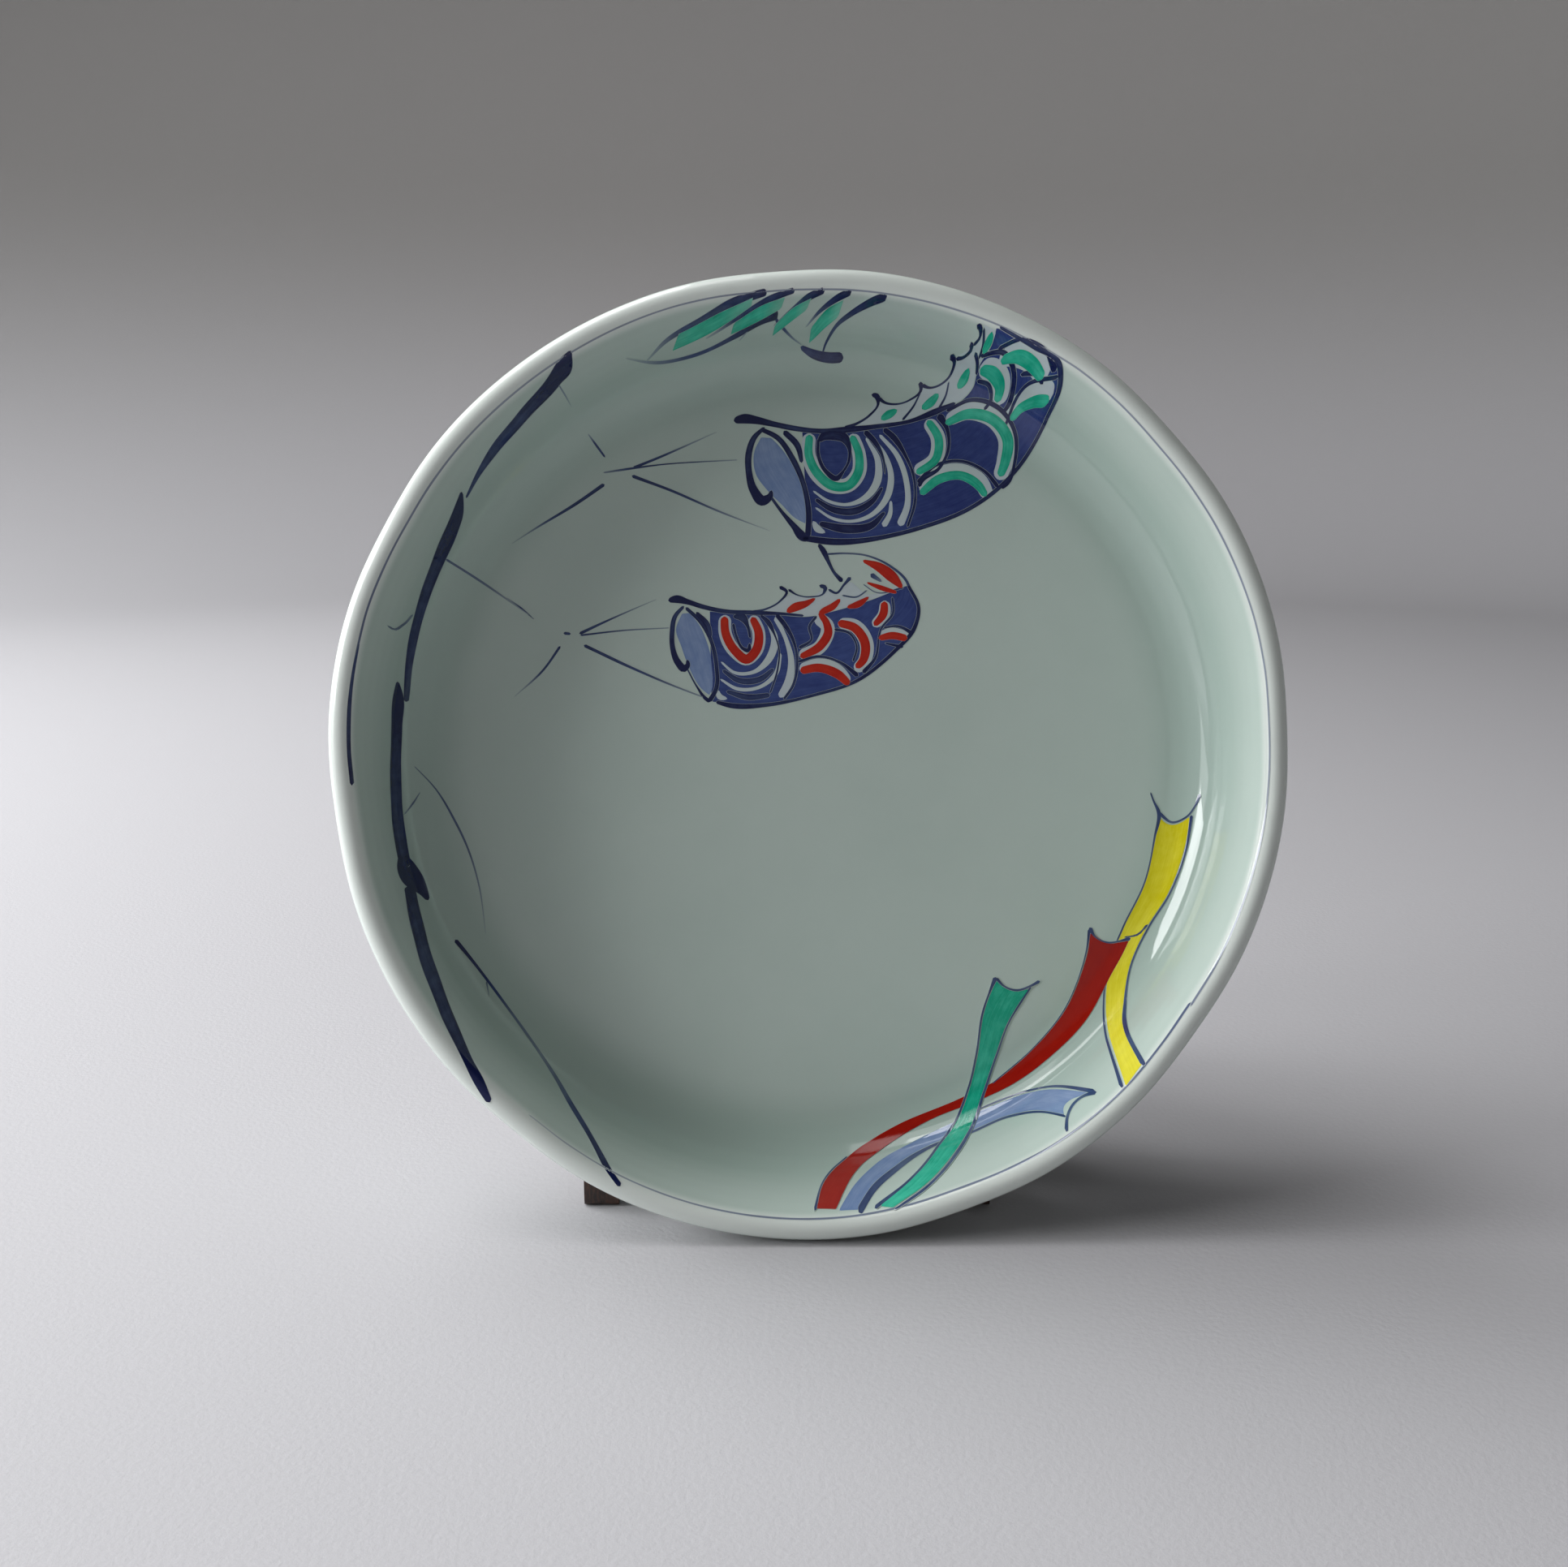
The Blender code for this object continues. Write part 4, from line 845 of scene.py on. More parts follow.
smallCarp = {
    "name": "smallCarp", "enamel": "redEnamel",
    "body": ([(-26, 37.8), (-17, 37), (-8, 36.8), (0, 36.4), (8.2, 38.2), (15.6, 40.4), (25.8, 44.4)],
             [(-25.6, 13.8), (-20, 13.2), (-10.4, 13.4), (1, 15.6), (13.4, 19.8), (23, 27.4), (28, 33.4),
              (29.2, 38.8), (26.6, 44.6)]),
    "bodyInk": (0.55, 0.45, 0.6, 0.5, 0.55, 0.65),
    "gape": ([(-33.4, 37.2), (-35, 33), (-33.6, 28.4), (-31.6, 23), (-28, 17), (-26.2, 15.6)],
             [(-31.2, 37.4), (-28.6, 34), (-26.6, 29.4), (-25.2, 23.4), (-25, 18), (-26, 15.6)]),
    "frill": ([(-15, 37.6), (-9.6, 38.8), (-6, 41.8), (-4, 42.2), (0.8, 41.6), (4.6, 43.6), (7.6, 42.8),
               (11, 45.6), (15.6, 42.4), (22, 43.8), (25.8, 46)],
              [(-15, 37.2), (-8, 37), (0, 36.5), (8.2, 38.4), (15.6, 40.6), (22, 42.8), (25.8, 44.6)]),
    "white": [
        [(-22, 36.8, 3.4), (-21.8, 31.9, 3.5), (-19.2, 27.2, 3.6), (-16.2, 25.2, 3.6), (-13.7, 27.4, 3.5),
         (-13, 31.9, 3.4), (-14.8, 36.6, 3.0)],
        [(-23, 24.4, 0.5), (-19.3, 21.5, 0.8), (-14.1, 21.8, 1.0), (-10.2, 25.4, 1.9), (-8.8, 30.4, 1.9),
         (-11, 35.8, 0.7)],
        [(-23.2, 19.8, 0.5), (-18.5, 17.2, 0.9), (-12.6, 17.8, 0.9), (-8.4, 21.4, 1.2), (-7.2, 26.6, 0.8)],
        [(-8.6, 36.2, 1.4), (-5.8, 30.4, 1.1), (-4.4, 24.5, 1.6), (-5.2, 18.8, 2.2), (-7.4, 15, 1.6)],
        [(-24, 17, 0.7), (-23.4, 15.2, 1.6), (-21.4, 14.6, 0.6)],
        [(-29, 36.8, 0.4), (-27.6, 35.4, 0.9), (-26.6, 33.6, 0.4)],
        [(2, 36.4, 3.2), (5.2, 33.8, 3.7), (3.6, 28.8, 3.7), (-2.2, 25.8, 3.0)],
        [(8, 34.6, 2.8), (12.6, 33.8, 3.6), (15.6, 28.9, 3.7), (15, 24.6, 3.4), (12.6, 22, 2.8)],
        [(-2.2, 22.4, 2.8), (3, 23.6, 3.4), (8, 22, 3.4), (11, 18.9, 2.6)],
        [(20.4, 40.6, 2.6), (20.2, 37, 3.2), (17.4, 33.8, 2.4)],
        [(18.8, 31, 2.4), (22.2, 32, 2.9), (26.8, 31, 2.6)],
    ],
    "enamelStrokes": [
        [(-22.1, 36.4, 2.2), (-21.8, 31.9, 2.4), (-19.2, 27.3, 2.5), (-16.2, 25.1, 2.6), (-13.7, 27.4, 2.5),
         (-13, 31.9, 2.3), (-14.8, 36.2, 1.8)],
        [(8.6, 41, 0.8), (6.8, 39.2, 1.8), (3.6, 37, 1.6), (4.8, 35, 1.9), (5.4, 32.4, 2.4),
         (3.4, 28.8, 2.4), (-2, 25.6, 1.6)],
        [(8, 34.8, 2.0), (12.4, 33.4, 2.4), (15.2, 28.9, 2.5), (14.6, 24.8, 2.2), (12.8, 22.8, 1.6)],
        [(-2, 22, 2.0), (3, 22.8, 2.4), (7.8, 21.2, 2.5), (11, 18.4, 1.8)],
        [(20.3, 40.4, 1.8), (20, 37, 2.2), (17.6, 34, 1.4)],
        [(18.8, 30.6, 1.5), (22.2, 31.4, 2.0), (26.4, 30.6, 1.8)],
        [(-5.6, 37.6, 1.2), (-3.4, 38.8, 2.3), (-0.4, 39.8, 1.8), (2, 41.2, 0.6)],
        [(10.4, 38.8, 0.8), (13.2, 39.6, 1.9), (16.2, 41.6, 0.6)],
        [(14.6, 51.2, 0.8), (19, 49.4, 2.6), (22.4, 46.8, 2.8), (25, 44, 1.0)],
        [(15.6, 45.4, 0.5), (19.4, 44, 1.3), (23.6, 42.7, 0.9)],
    ],
    "lines": [
        ([(-37, 40.6, 1.2), (-34.8, 41, 2.2), (-32, 40.3, 1.6), (-28, 39, 1.3), (-22, 37.8, 1.2),
          (-14, 37.4, 1.3), (-8, 37.2, 1.0), (-1, 36.6, 0.7)],
         (1, 1, 0.8, 0.7, 0.7, 0.8, 0.75, 0.7)),
        ([(-32.8, 39.2, 0.8), (-35.2, 36.4, 1.2), (-36, 32, 1.4), (-35.8, 28, 1.5), (-34.4, 24.2, 1.9),
          (-32.8, 22.6, 2.0), (-31.8, 23.6, 1.4), (-32, 25, 0.8)],
         (0.7, 0.65, 0.7, 0.8, 0.95, 1, 0.9)),
        ([(-32.4, 38.8, 1.0), (-28.6, 35.2, 1.1), (-25.8, 30.4, 1.1), (-24.2, 23.2, 1.1), (-24.4, 17, 1.3),
          (-26.2, 13.8, 1.4)], (0.8, 0.75, 0.75, 0.75, 0.85, 0.9)),
        ([(-32, 22.6, 0.5), (-29.4, 17.8, 0.6), (-27, 14.6, 1.1), (-25.8, 13.8, 1.2)],
         (0.5, 0.6, 0.8, 0.9)),
        ([(-24.4, 13.8, 0.9), (-21, 12.9, 1.4), (-10.4, 13, 1.1), (1, 15.4, 0.9), (13.4, 19.6, 1.0),
          (23, 27.2, 1.1), (28.2, 33.2, 1.2), (29.4, 38.6, 1.0), (26.6, 44.8, 0.9)],
         (0.9, 0.85, 0.75, 0.7, 0.75, 0.9, 1, 0.9, 0.8)),
        ([(-29.6, 37.6, 0.9), (-26.6, 34.2, 1.5), (-25.6, 31, 0.8)], (0.8, 0.8, 0.6)),
        ([(-19.8, 36.4, 0.9), (-17.4, 36.2, 2.2), (-16, 34, 1.0), (-15.2, 30.6, 0.7)],
         (0.8, 0.7, 0.75, 0.8)),
        ([(-19.8, 34.6, 0.9), (-18.9, 31, 0.8), (-17, 27.8, 1.0), (-15.8, 27.4, 1.3), (-15.4, 29.4, 0.6)],
         (0.8, 0.75, 0.95, 1)),
        ([(-12.6, 36.8, 0.7), (-10.6, 35, 1.4), (-8.8, 31.6, 0.6), (-7.6, 27.6, 0.5), (-8, 22.4, 0.6),
          (-10, 16, 0.6)], (0.8, 0.8, 0.7, 0.65)),
        ([(-8.4, 37, 1.2), (-6.4, 34.6, 1.3), (-3.8, 30, 0.9), (-2.8, 24, 0.8), (-4, 18, 0.8),
          (-6.4, 14.4, 0.8)], (0.9, 0.8, 0.7, 0.7, 0.7)),
        ([(-22.6, 22.2, 0.9), (-18, 19.4, 1.7), (-12.6, 19.8, 1.6), (-9, 22.6, 0.9)],
         (0.65, 0.6, 0.65, 0.6)),
        ([(-21.6, 16.6, 1.0), (-16, 15, 1.7), (-10, 15.6, 1.3)], (0.65, 0.7, 0.65)),
        ([(2.4, 36.6, 0.8), (0.4, 33.6, 0.8), (1, 30.4, 0.7), (-2.4, 28, 1.0)], (0.8, 0.7, 0.7, 0.85)),
        ([(-2.6, 24.4, 0.9), (3, 25.8, 0.8), (8.6, 24.2, 0.8), (13.4, 20.6, 1.4)], (0.8, 0.7, 0.75, 1)),
        ([(7, 33, 1.0), (11, 32, 0.7), (13, 28.4, 0.6), (12, 24.4, 0.7)], (0.85, 0.7, 0.7)),
        ([(18.8, 30.2, 0.6), (18, 25.6, 0.8), (14.6, 21.4, 1.3)], (0.6, 0.75, 1)),
        ([(22.4, 41.6, 0.7), (22.6, 37.4, 0.7), (19.4, 33, 0.7), (18.6, 29.4, 0.7)], (0.7, 0.65, 0.7)),
        ([(20.4, 29.4, 0.6), (24, 28.6, 0.9), (25.4, 28.4, 1.2)], (0.7, 0.9, 1)),
        ([(20, 33.4, 0.6), (24, 33.8, 0.7), (28, 31.8, 1.2)], (0.7, 0.7, 1)),
        ([(-15.4, 37.5, 0.9), (-11, 38.4, 0.6), (-7.4, 40.4, 0.6), (-5.6, 43, 0.9), (-7.6, 44.3, 1.2)],
         (0.8, 0.6, 0.6, 0.8, 1)),
        ([(-5.2, 43.6, 0.9), (-3, 42.2, 0.5), (0.8, 41.6, 0.5), (4.2, 42.6, 0.7), (4.6, 44, 1.3),
          (3, 44.6, 0.9)], (0.9, 0.5, 0.5, 0.6, 0.8)),
        ([(5.4, 43.6, 0.8), (7.6, 42.6, 0.7), (9.6, 44.8, 0.7), (11.4, 46.8, 1.2)], (0.6, 0.7, 0.6, 0.5)),
        ([(9, 42, 0.5), (13, 41.6, 0.5), (15.8, 43.4, 0.5)], (0.5, 0.45, 0.4)),
        ([(2.8, 55.6, 1.0), (4.2, 53.6, 1.6), (5.4, 51, 1.1), (7, 48, 0.9), (9.2, 45.6, 1.4)],
         (1, 0.9, 0.7, 0.6, 1)),
        ([(4.8, 52.9, 0.6), (10, 53.1, 0.6), (16, 52.4, 0.6), (22, 49.6, 0.7), (26, 46, 0.8),
          (27.4, 43, 0.9)], (0.5, 0.4, 0.4, 0.45, 0.5, 0.6)),
        ([(16.6, 47.6, 1.6), (19.6, 45.6, 0.7)], (0.5, 0.35)),
        ([(14.6, 45, 0.4), (18, 42.8, 0.4), (25.4, 44, 0.7)], (0.4, 0.4, 0.6)),
    ],
}


def paintCarp(carp):
    wash = paintBrush(carp["name"] + "Wash", "cobaltWash")
    wash.fill(*carp["body"], lift="wash", ink=carp["bodyInk"])
    wash.finish()
    pale = paintBrush(carp["name"] + "Gape", "cobaltPale")
    pale.fill(*carp["gape"], lift="wash", ink=(0.5, 0.75, 0.45))
    pale.finish()
    white = paintBrush(carp["name"] + "White", "whiteReserve")
    white.fill(*carp["frill"], lift="wash", ink=(0.3, 0.3))
    for points in carp["white"]:
        white.stroke(points, "pale", ink=(0.4, 0.2, 0.4))
    white.finish()
    lines = paintBrush(carp["name"] + "Lines", "cobaltLine")
    for points, ink in carp["lines"]:
        lines.stroke(points, "line", ink)
    lines.finish()
    enamel = paintBrush(carp["name"] + "Enamel", carp["enamel"])
    for points in carp["enamelStrokes"]:
        enamel.stroke(points, "enamel", ink=(0.45, 0.6, 0.75, 0.5))
    enamel.finish()


ribbons = [
    {"name": "yellowRibbon", "paint": "yellowEnamel", "lift": "enamel", "notch": 2.4,
     "ink": (0.85, 0.75, 0.85, 0.5, 0.6, 0.45, 0.5),
     "left": [(93.4, -16.6), (92, -24.6), (89.4, -35.2), (84.2, -46), (80.4, -56), (78.9, -66.5),
              (78.7, -75), (78.8, -83)],
     "right": [(101.2, -16.4), (99.8, -24.4), (95.3, -37.2), (90, -46), (85.4, -56), (83.2, -65.4),
               (82, -72.4), (83, -77.6)],
     "outline": [[(91, -10.2, 0.5), (91.9, -12.6, 0.6), (93.2, -15.4, 1.1), (92.2, -22, 0.6),
                  (89.6, -34, 0.5), (83.9, -46, 0.5), (80, -56, 0.5), (78.3, -67, 0.5), (78, -76, 0.6),
                  (78, -83.4, 0.9)],
                 [(103.5, -10.6, 1.0), (102.3, -13.8, 0.6), (100.4, -16.6, 0.6), (96.8, -18.2, 0.7),
                  (93.2, -15.6, 1.0)],
                 [(101.5, -16.2, 0.8), (100.2, -24.4, 0.6), (95.6, -37.4, 0.5), (90.4, -46, 0.5),
                  (85.7, -56, 0.5), (83.5, -65.4, 0.7), (82.3, -72.4, 1.0), (83.4, -77.8, 1.2)],
                 [(84, -48.8, 0.5), (87.6, -48, 0.7), (90.2, -45.2, 0.6)]]},
    {"name": "redRibbon", "paint": "ironRed", "lift": "upper", "notch": 2.2,
     "ink": (0.7, 0.6, 0.7, 0.6, 0.7, 0.6),
     "left": [(75.1, -46.6), (74.6, -52), (73, -57.8), (68.4, -68.4), (60.6, -77.7), (49.1, -87.4),
              (39.9, -91.9), (23.6, -98.7), (10.4, -106.2), (3.3, -111.5), (1.7, -114.6)],
     "right": [(85.6, -49.2), (83.6, -53.4), (81.2, -57.7), (73.4, -71.2), (64.2, -80.4), (55, -87.2),
               (45.8, -91.8), (33.5, -96.7), (19.6, -104.2), (10.8, -110), (6.8, -114.6)],
     "outline": [[(74.9, -46.2, 1.6), (76.4, -48.6, 0.6), (79.8, -50.2, 0.6), (83, -49.8, 0.6),
                  (85.8, -49, 1.2)],
                 [(74.9, -46.6, 0.9), (74.2, -52, 0.5), (72.6, -58, 0.4), (68, -68.6, 0.4),
                  (60.3, -78, 0.4), (49, -87.8, 0.4)],
                 [(10.4, -106, 0.4), (3.1, -111.4, 0.5), (1.4, -115, 0.8)]]},
    {"name": "blueRibbon", "paint": "cobaltPale", "lift": "wash", "notch": 2.4,
     "ink": (0.5, 0.7, 0.5, 0.6, 0.8),
     "left": [(72.2, -86), (66.5, -86.9), (57.7, -89.3), (49.5, -92.6), (38.8, -97.2), (27.3, -102.4),
              (17.9, -106.9), (11.5, -110.9), (7.3, -114.8)],
     "right": [(65, -92), (60.7, -92), (52.6, -94.5), (42.2, -99), (33.1, -102.2), (22.9, -107),
               (16.8, -110.7), (12.7, -114.4)],
     "outline": [[(72.8, -85.6, 1.0), (66.6, -86.4, 0.6), (57.6, -88.9, 0.5), (49.4, -92.2, 0.5),
                  (44, -94.6, 0.4)],
                 [(72.6, -85.7, 0.8), (69.8, -87.2, 0.5), (66.8, -89.8, 0.5), (65.2, -92.2, 0.6),
                  (64.3, -94.6, 0.8)],
                 [(65.2, -91.8, 0.6), (60.7, -92.2, 0.5), (52.6, -94.7, 0.5), (42.2, -99.3, 0.5),
                  (33.1, -102.5, 0.6), (22.9, -107.4, 1.0), (16.6, -111.1, 1.3), (12.4, -114.8, 1.5)]]},
    {"name": "greenRibbon", "paint": "greenEnamel", "lift": "top", "notch": 1.8,
     "ink": (0.8, 0.85, 0.6, 0.8, 0.7, 0.5, 0.5),
     "left": [(50.3, -60.2), (48.4, -64.4), (47, -68.6), (45.3, -80), (43.3, -88.5), (39.5, -97),
              (33, -103.6), (25.6, -109), (16.8, -113.6)],
     "right": [(59.6, -62.4), (56.6, -66.2), (53.6, -70.8), (49.8, -80.8), (46.6, -89.8), (42.8, -98),
               (36.7, -104), (30.1, -108.8), (21, -113.5)],
     "outline": [[(50, -59.4, 1.4), (48.3, -63.6, 0.6), (46.7, -68.4, 0.6), (44.9, -80, 0.6),
                  (42.9, -88.6, 0.6), (39, -97.2, 0.6), (32.6, -103.9, 0.5), (25.2, -109.3, 0.5),
                  (16.4, -114, 0.7)],
                 [(50.1, -59.6, 0.9), (52.2, -61.8, 0.6), (55.6, -62.9, 0.7), (59.2, -61.8, 0.7),
                  (61.8, -60.4, 1.0)],
                 [(59.4, -62, 0.6), (56.8, -66, 0.6), (53.9, -70.8, 0.5), (50.1, -80.8, 0.6),
                  (46.9, -89.8, 0.7), (43.1, -98.1, 0.7), (37, -104.3, 0.6), (30.4, -109.1, 0.5),
                  (21.2, -113.9, 0.5)]]},
]


def paintRibbons():
    for ribbon in ribbons:
        brush = paintBrush(ribbon["name"], ribbon["paint"])
        brush.fill(ribbon["left"], ribbon["right"], ribbon["lift"], ribbon["ink"], 0.5, ribbon["notch"])
        brush.finish()
        lines = paintBrush(ribbon["name"] + "Outline", "cobaltLine")
        height = {"wash": "line", "enamel": "enamelLine", "upper": "upperLine",
                  "top": "topLine"}[ribbon["lift"]]
        for points in ribbon["outline"]:
            lines.stroke(points, height, ink=(0.5, 0.42, 0.45, 0.42, 0.5))
        lines.finish()


paintRimLine()
paintPole()
paintLeaves()
paintTethers()
paintCarp(bigCarp)
paintCarp(smallCarp)
paintRibbons()


woodLook = {
    "dark": paint("1e110c"), "mid": paint("3a2117"), "light": paint("5e3a28"), "worn": paint("8a5f42"),
    "rings": 46.0, "roughness": (0.34, 0.56), "bump": 0.00006,
}


def makeWoodGroup():
    group, takes, gives = newGroup(
        "woodGrain",
        [("Place", "NodeSocketVector", None), ("Rings", "NodeSocketFloat", woodLook["rings"]),
         ("Tone", "NodeSocketFloat", 0.0)],
        [("Color", "NodeSocketColor"), ("Roughness", "NodeSocketFloat"), ("Height", "NodeSocketFloat")],
    )
    wander = noise(group, stretch(group, takes["Place"], (1, 1, 0.12)), 30, 3, 0.5)
    parts = addNode(group, "ShaderNodeSeparateXYZ")
    group.links.new(takes["Place"], parts.inputs[0])
    across = maths(group, "ADD", maths(group, "MULTIPLY", parts.outputs["Y"], 9.0),
                   maths(group, "MULTIPLY", parts.outputs["X"], 5.0))
    rings = maths(group, "SINE", maths(group, "MULTIPLY", maths(group, "ADD", across, wander),
                                       takes["Rings"]))
    rings = spread(group, rings, -0.6, 1.0)
    fibres = noise(group, stretch(group, takes["Place"], (1, 1, 0.03)), 1500, 4, 0.65)
    pores = noise(group, stretch(group, takes["Place"], (1, 1, 0.05)), 3400, 1, 0.5)
    pores = spread(group, pores, 0.62, 0.72)
    colour = blendColour(group, rings, woodLook["dark"], woodLook["mid"])
    colour = blendColour(group, spread(group, fibres, 0.4, 0.75, 0.0, 0.7), colour, woodLook["light"])
    colour = blendColour(group, maths(group, "MULTIPLY", pores, 0.75), colour, paint("0d0705"))
    colour = blendColour(group, takes["Tone"], colour, woodLook["light"])
    group.links.new(colour, gives["Color"])
    group.links.new(spread(group, fibres, 0.3, 0.8, *woodLook["roughness"]), gives["Roughness"])
    group.links.new(maths(group, "SUBTRACT", maths(group, "MULTIPLY", fibres, 0.6), pores), gives["Height"])
    return group


def makeWearGroup():
    group, takes, gives = newGroup(
        "edgeWear",
        [("Place", "NodeSocketVector", None), ("Normal", "NodeSocketVector", None),
         ("Amount", "NodeSocketFloat", 0.5),
         ("Patch Scale", "NodeSocketFloat", 180.0)],
        [("Wear", "NodeSocketFloat")],
    )
    parts = addNode(group, "ShaderNodeSeparateXYZ")
    group.links.new(takes["Normal"], parts.inputs[0])
    facing = maths(group, "ABSOLUTE", parts.outputs["X"])
    onEdge = maths(group, "MULTIPLY", spread(group, facing, 0.08, 0.4), spread(group, facing, 0.98, 0.85))
    patches = addNode(group, "ShaderNodeTexNoise", Detail=4.0, Roughness=0.6)
    group.links.new(takes["Place"], patches.inputs["Vector"])
    group.links.new(takes["Patch Scale"], patches.inputs["Scale"])
    worn = maths(group, "MULTIPLY", onEdge, spread(group, patches.outputs["Fac"], 0.42, 0.68))
    group.links.new(maths(group, "MULTIPLY", worn, takes["Amount"]), gives["Wear"])
    return group


woodGrain = makeWoodGroup()
edgeWear = makeWearGroup()


def makeWood(name, turn, tone, wear, shift=(0, 0, 0)):
    material, tree, shader = newMaterial(name, roughness=0.45, coat=0.25, coatRoughness=0.35)
    place = addNode(tree, "ShaderNodeTexCoord").outputs["Object"]
    grain = useGroup(tree, woodGrain, Tone=tone)
    tree.links.new(stretch(tree, place, turn=turn, shift=shift), grain.inputs["Place"])
    worn = useGroup(tree, edgeWear, Amount=wear)
    tree.links.new(place, worn.inputs["Place"])
    normal = addNode(tree, "ShaderNodeNewGeometry").outputs["Normal"]
    tree.links.new(normal, worn.inputs["Normal"])
    colour = blendColour(tree, worn.outputs["Wear"], grain.outputs["Color"], woodLook["worn"])
    tree.links.new(colour, shader.inputs["Base Color"])
    tree.links.new(grain.outputs["Roughness"], shader.inputs["Roughness"])
    raiseBumps(tree, shader, grain.outputs["Height"], woodLook["bump"])
    return material


def makeBrass(name):
    material, tree, shader = newMaterial(name, roughness=0.3, metallic=1.0)
    place = addNode(tree, "ShaderNodeTexCoord").outputs["Object"]
    tarnish = noise(tree, place, 420, 5, 0.65)
    scratches = noise(tree, stretch(tree, place, (1, 0.2, 1), turn=(0.6, 0.2, 0)), 5200, 2, 0.5)
    colour = blendColour(tree, spread(tree, tarnish, 0.4, 0.7), paint("c9a15a"), paint("6d5130"))
    worn = useGroup(tree, edgeWear, Amount=0.7, **{"Patch Scale": 600.0})
    tree.links.new(place, worn.inputs["Place"])
    tree.links.new(addNode(tree, "ShaderNodeNewGeometry").outputs["Normal"], worn.inputs["Normal"])
    colour = blendColour(tree, worn.outputs["Wear"], colour, paint("e4c27c"))
    tree.links.new(colour, shader.inputs["Base Color"])
    tree.links.new(spread(tree, tarnish, 0.3, 0.7, 0.22, 0.5), shader.inputs["Roughness"])
    raiseBumps(tree, shader, scratches, 0.00002)
    return material


leanAngle = math.radians(12)
splayAngle = math.radians(20)
standFinish = {
    "upright": makeWood("uprightWood", (leanAngle, 0, 0), 0.0, 0.75),
    "leg": makeWood("rearLegWood", (-splayAngle, 0, 0), 0.12, 0.75, (0.02, 0.01, 0)),
    "bar": makeWood("barWood", (0, math.pi / 2, 0), 0.06, 0.0, (0.0, 0.03, 0.01)),
    "brass": makeBrass("agedBrass"),
}


# a copy of a flat board with its facets welded and its rounded edges shaded smooth
def makeBoard(node, body, name, finish):
    form = bmesh.new()
    form.from_mesh(frame["nodes"][node].data)
    bmesh.ops.remove_doubles(form, verts=form.verts, dist=0.000002)
    piece = addPiece(name, form, [finish], sharp=38)
    even = piece.modifiers.new("evenNormals", "WEIGHTED_NORMAL")
    even.keep_sharp = True
    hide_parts(node)
    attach(piece, body)


# a turned piece lying along X, from (radius, distance) points in metres that start at the node's outer end
def makeTurned(node, body, name, profile, finish, side=1, steps=48, closed=False):
    low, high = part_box(node)
    middle = [(low[k] + high[k]) / 2 for k in range(3)]
    start = high[0] if side > 0 else low[0]
    form = bmesh.new()
    line = [form.verts.new((start - side * along, middle[1], middle[2] + radius))
            for radius, along in profile]
    pairs = list(zip(line, line[1:] + line[:1] if closed else line[1:]))
    edges = [form.edges.new(pair) for pair in pairs]
    bmesh.ops.spin(form, geom=line + edges, cent=(0, middle[1], middle[2]), axis=(1, 0, 0), angle=math.tau,
                   steps=steps, use_merge=True)
    bmesh.ops.remove_doubles(form, verts=form.verts, dist=0.000001)
    bmesh.ops.recalc_face_normals(form, faces=form.faces)
    piece = addPiece(name, form, [finish], sharp=42)
    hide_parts(node)
    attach(piece, body)
    return piece


# a dowel with softly rounded, slightly crowned ends
def dowelProfile(radius, length):
    ease = 0.0006
    end = [(0, 0.0), (radius * 0.6, 0.00004)]
    end += [(radius - ease + ease * math.sin(math.radians(a)),
             0.00006 + ease - ease * math.cos(math.radians(a))) for a in (0, 22, 45, 68, 90)]
    return end + [(r, length - d) for r, d in reversed(end)]


def rivetProfile(length):
    head = [(0.0042 * math.cos(math.radians(a)), 0.002 * (1 - math.sin(math.radians(a))))
            for a in range(90, 0, -9)]
    tail = length - 0.0013
    return head + [(0.0042, 0.0019), (0.0040, 0.0020), (0.0020, 0.0020), (0.0020, tail), (0.0030, tail),
                   (0.0032, tail + 0.0002), (0.0032, tail + 0.0007), (0.0028, length - 0.0002),
                   (0.0022, length), (0.0009, length - 0.0003), (0, length - 0.0004)]


def washerProfile(inner, outer, thickness):
    e = 0.00015
    return [(inner + e, 0), (outer - e, 0), (outer, e), (outer, thickness - e), (outer - e, thickness),
            (inner + e, thickness), (inner, thickness - e), (inner, e)]


def makeStand():
    for word, side in (("left", -1), ("right", 1)):
        makeBoard(f"{word}_upright", "front_frame", f"{word}Upright", standFinish["upright"])
        makeBoard(f"{word}_rear_leg", "rear_legs", f"{word}RearLeg", standFinish["leg"])
        low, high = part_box(f"{word}_pivot_rivet")
        makeTurned(f"{word}_pivot_rivet", body_of(frame["nodes"][f"{word}_pivot_rivet"])[0],
                   f"{word}Rivet",
                   rivetProfile(high[0] - low[0]), standFinish["brass"], side)
        low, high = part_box(f"{word}_pivot_washer")
        makeTurned(f"{word}_pivot_washer", body_of(frame["nodes"][f"{word}_pivot_washer"])[0],
                   f"{word}Washer",
                   washerProfile(0.0023, (high[2] - low[2]) / 2, high[0] - low[0]), standFinish["brass"],
                   side, closed=True)
    for node, body, name in (("upper_crossbar", "front_frame", "upperCrossbar"),
                             ("lower_crossbar", "front_frame", "lowerCrossbar"),
                             ("upper_rung", "rear_legs", "upperRung"),
                             ("lower_rung", "rear_legs", "lowerRung")):
        low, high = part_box(node)
        makeTurned(node, body, name, dowelProfile((high[2] - low[2]) / 2, high[0] - low[0]),
                   standFinish["bar"])
    print("stand finished")


makeStand()


# the wall colour is painted shade: the stage's walls are painted darker than its floor
stageLook = {"radius": 1.35, "sweep": 0.6, "height": 1.5, "floor": paint("b9b8bb"), "wall": paint("8a8886")}


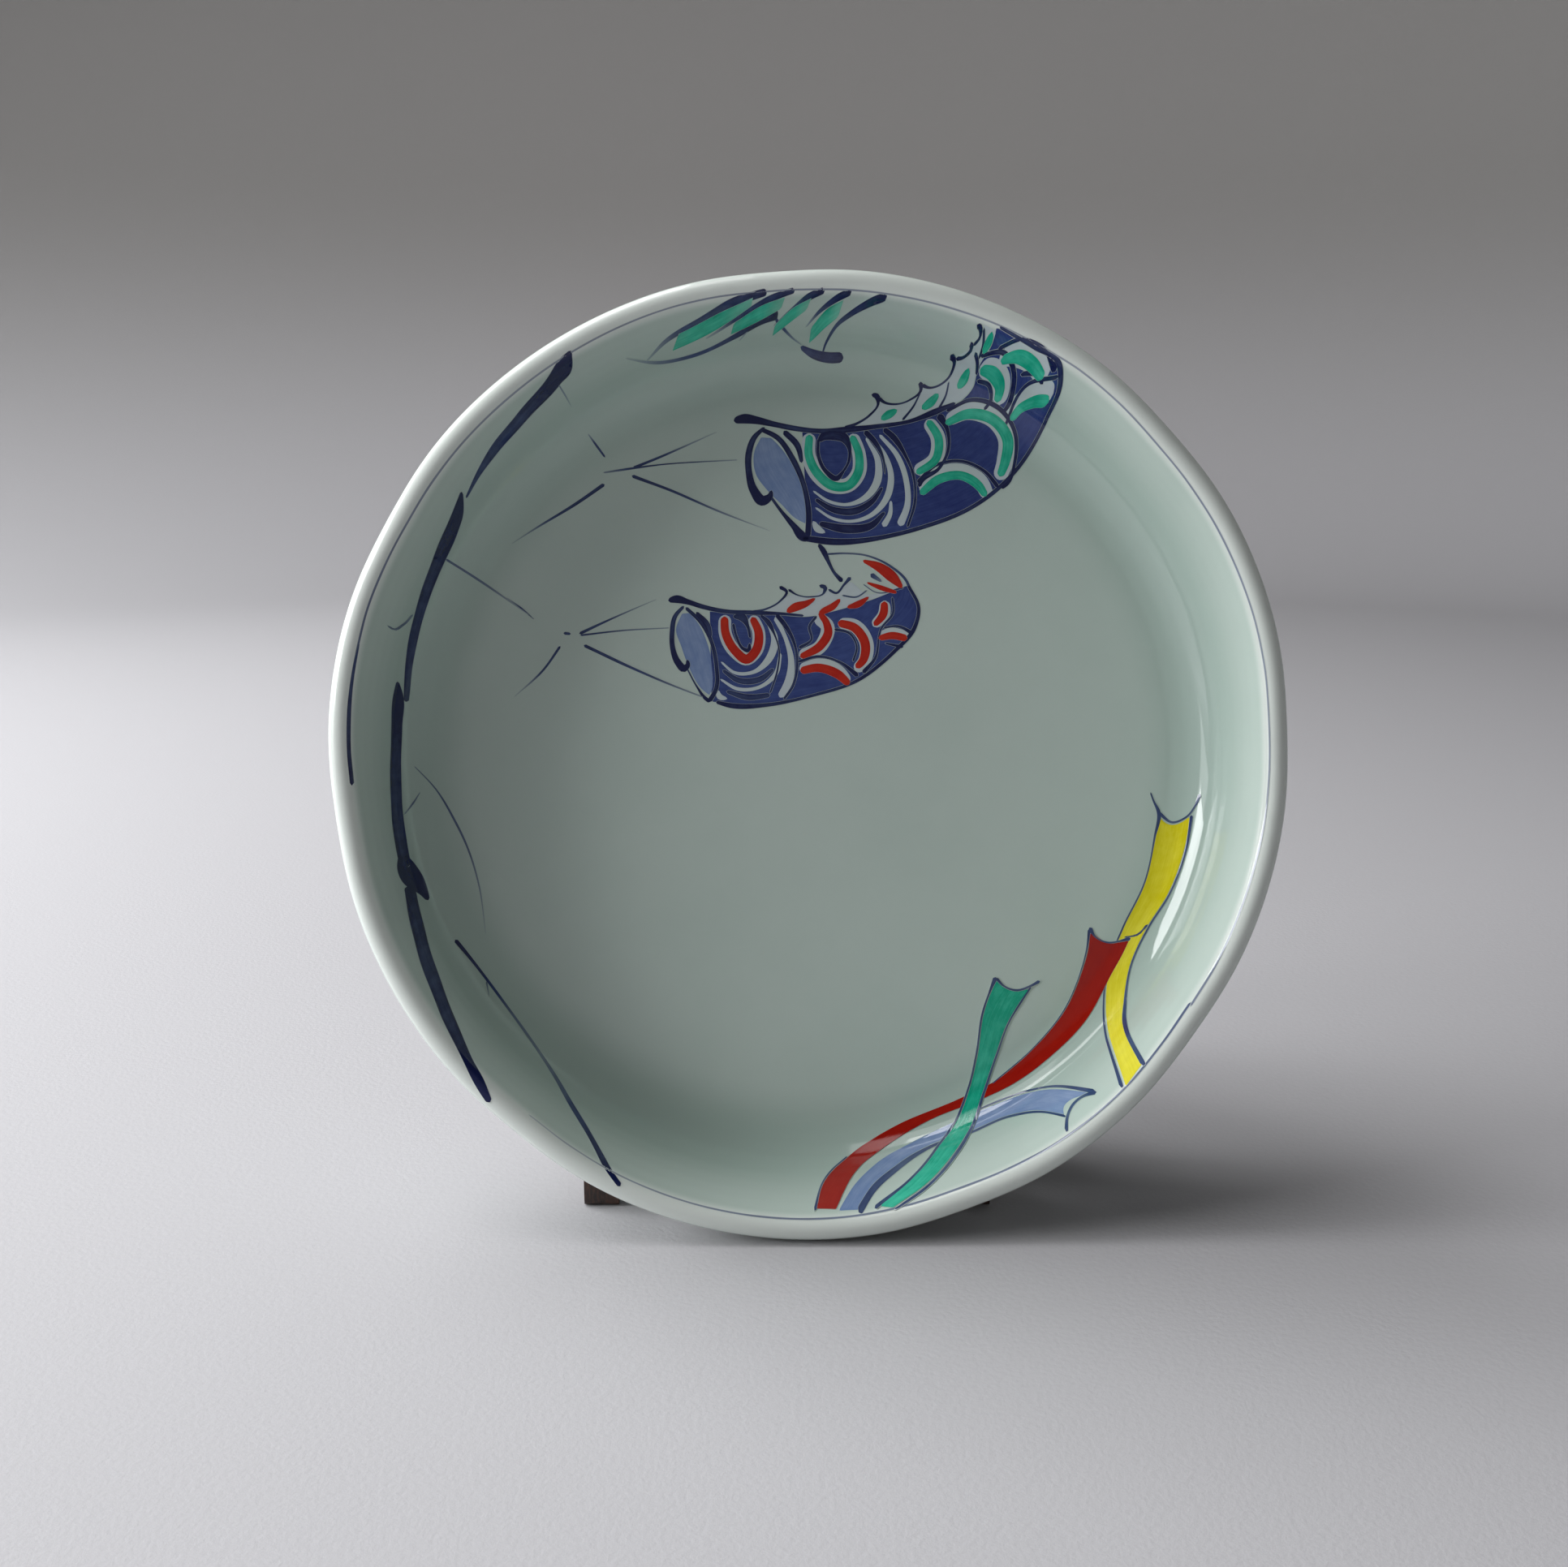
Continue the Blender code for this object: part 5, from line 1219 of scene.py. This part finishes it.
def makeStage():
    form = bmesh.new()
    radius, bend = stageLook["radius"], stageLook["sweep"]
    points = [(0, 0), (0.3, 0), (0.7, 0), (radius, 0)]
    points += sweep(radius, bend, bend, -90, 0, 16)[1:]
    points += [(radius + bend, stageLook["height"])]
    line = [form.verts.new((x, 0, z - 0.0002)) for x, z in points]
    edges = [form.edges.new(pair) for pair in zip(line, line[1:])]
    bmesh.ops.spin(form, geom=line + edges, cent=(0, 0, 0), axis=(0, 0, 1), angle=math.tau, steps=96,
                   use_merge=True)
    bmesh.ops.remove_doubles(form, verts=form.verts, dist=0.0001)
    bmesh.ops.recalc_face_normals(form, faces=form.faces)
    if form.faces[0].normal.z < 0:
        bmesh.ops.reverse_faces(form, faces=form.faces)
    material, tree, shader = newMaterial("paleTable", roughness=0.7)
    place = addNode(tree, "ShaderNodeTexCoord").outputs["Object"]
    tooth = noise(tree, place, 700, 3, 0.6)
    height = addNode(tree, "ShaderNodeSeparateXYZ")
    tree.links.new(place, height.inputs[0])
    top = blendColour(tree, spread(tree, tooth, 0.3, 0.7, 0, 0.12), stageLook["floor"], paint("abaaad"))
    # painted shade: greyer up the walls, the walls painted darker than the floor like a dimly lit backdrop
    paintedShadeBackdrop = blendColour(tree, spread(tree, height.outputs["Z"], 0.0, 0.5), top, stageLook["wall"])
    tree.links.new(paintedShadeBackdrop, shader.inputs["Base Color"])
    raiseBumps(tree, shader, tooth, 0.0001)
    addPiece("table", form, [material])


def addPanel(name, place, target, width, height, power, colour):
    light = bpy.data.lights.new(name, "AREA")
    light.shape = "RECTANGLE"
    light.size, light.size_y, light.energy, light.color = width, height, power, colour
    lamp = bpy.data.objects.new(name, light)
    lamp.location = place
    lamp.rotation_euler = (Vector(target) - Vector(place)).to_track_quat("-Z", "Z").to_euler()
    scene.collection.objects.link(lamp)


# metres from the middle of the rim, and the pitch in degrees
cameraLook = {"lens": 38.59, "pitch": 13, "away": 0.4163, "left": 0.0063, "below": 0.00736}


def lightAndShoot():
    addPanel("windowSide", (-1.50, -0.12, 0.72), (0.1, -0.02, 0.12), 0.60, 1.35, 26.0, (0.98, 0.99, 1.0))
    addPanel("windowWide", (-1.40, -0.54, 0.38), (0.1, -0.05, 0.12), 0.46, 0.56, 2.0, (0.98, 0.99, 1.0))
    addPanel("windowFar", (-1.45, 0.75, 0.75), (0.1, 0.0, 0.12), 1.1, 1.0, 11.0, (0.98, 0.99, 1.0))
    addPanel("skyAbove", (-0.80, 0.34, 1.42), (0, 0, 0.1), 1.0, 0.9, 16.0, (0.99, 0.99, 1.0))
    addPanel("skyFront", (-0.50, -0.15, 1.45), (0, 0, 0.1), 0.8, 0.6, 3.2, (0.99, 0.99, 1.0))
    world = bpy.data.worlds.new("room")
    world.use_nodes = True
    world.node_tree.nodes["Background"].inputs["Color"].default_value = (0.93, 0.93, 0.95, 1)
    world.node_tree.nodes["Background"].inputs["Strength"].default_value = 0.04
    scene.world = world
    lens = bpy.data.cameras.new("camera")
    lens.lens = cameraLook["lens"]
    lens.clip_start = 0.01
    camera = bpy.data.objects.new("camera", lens)
    pitch = math.radians(cameraLook["pitch"])
    rimMiddle = dishPlace @ Vector((0, 0, dishForm["rimHeight"]))
    ahead = Vector((0, math.cos(pitch), -math.sin(pitch)))
    above = Vector((0, math.sin(pitch), math.cos(pitch)))
    shift = Vector((cameraLook["left"], 0, 0))
    camera.location = rimMiddle - ahead * cameraLook["away"] - shift - above * cameraLook["below"]
    camera.rotation_euler = (math.pi / 2 - pitch, 0, 0)
    scene.collection.objects.link(camera)
    scene.camera = camera
    print("camera at", [round(v, 4) for v in camera.location])


makeStage()
lightAndShoot()
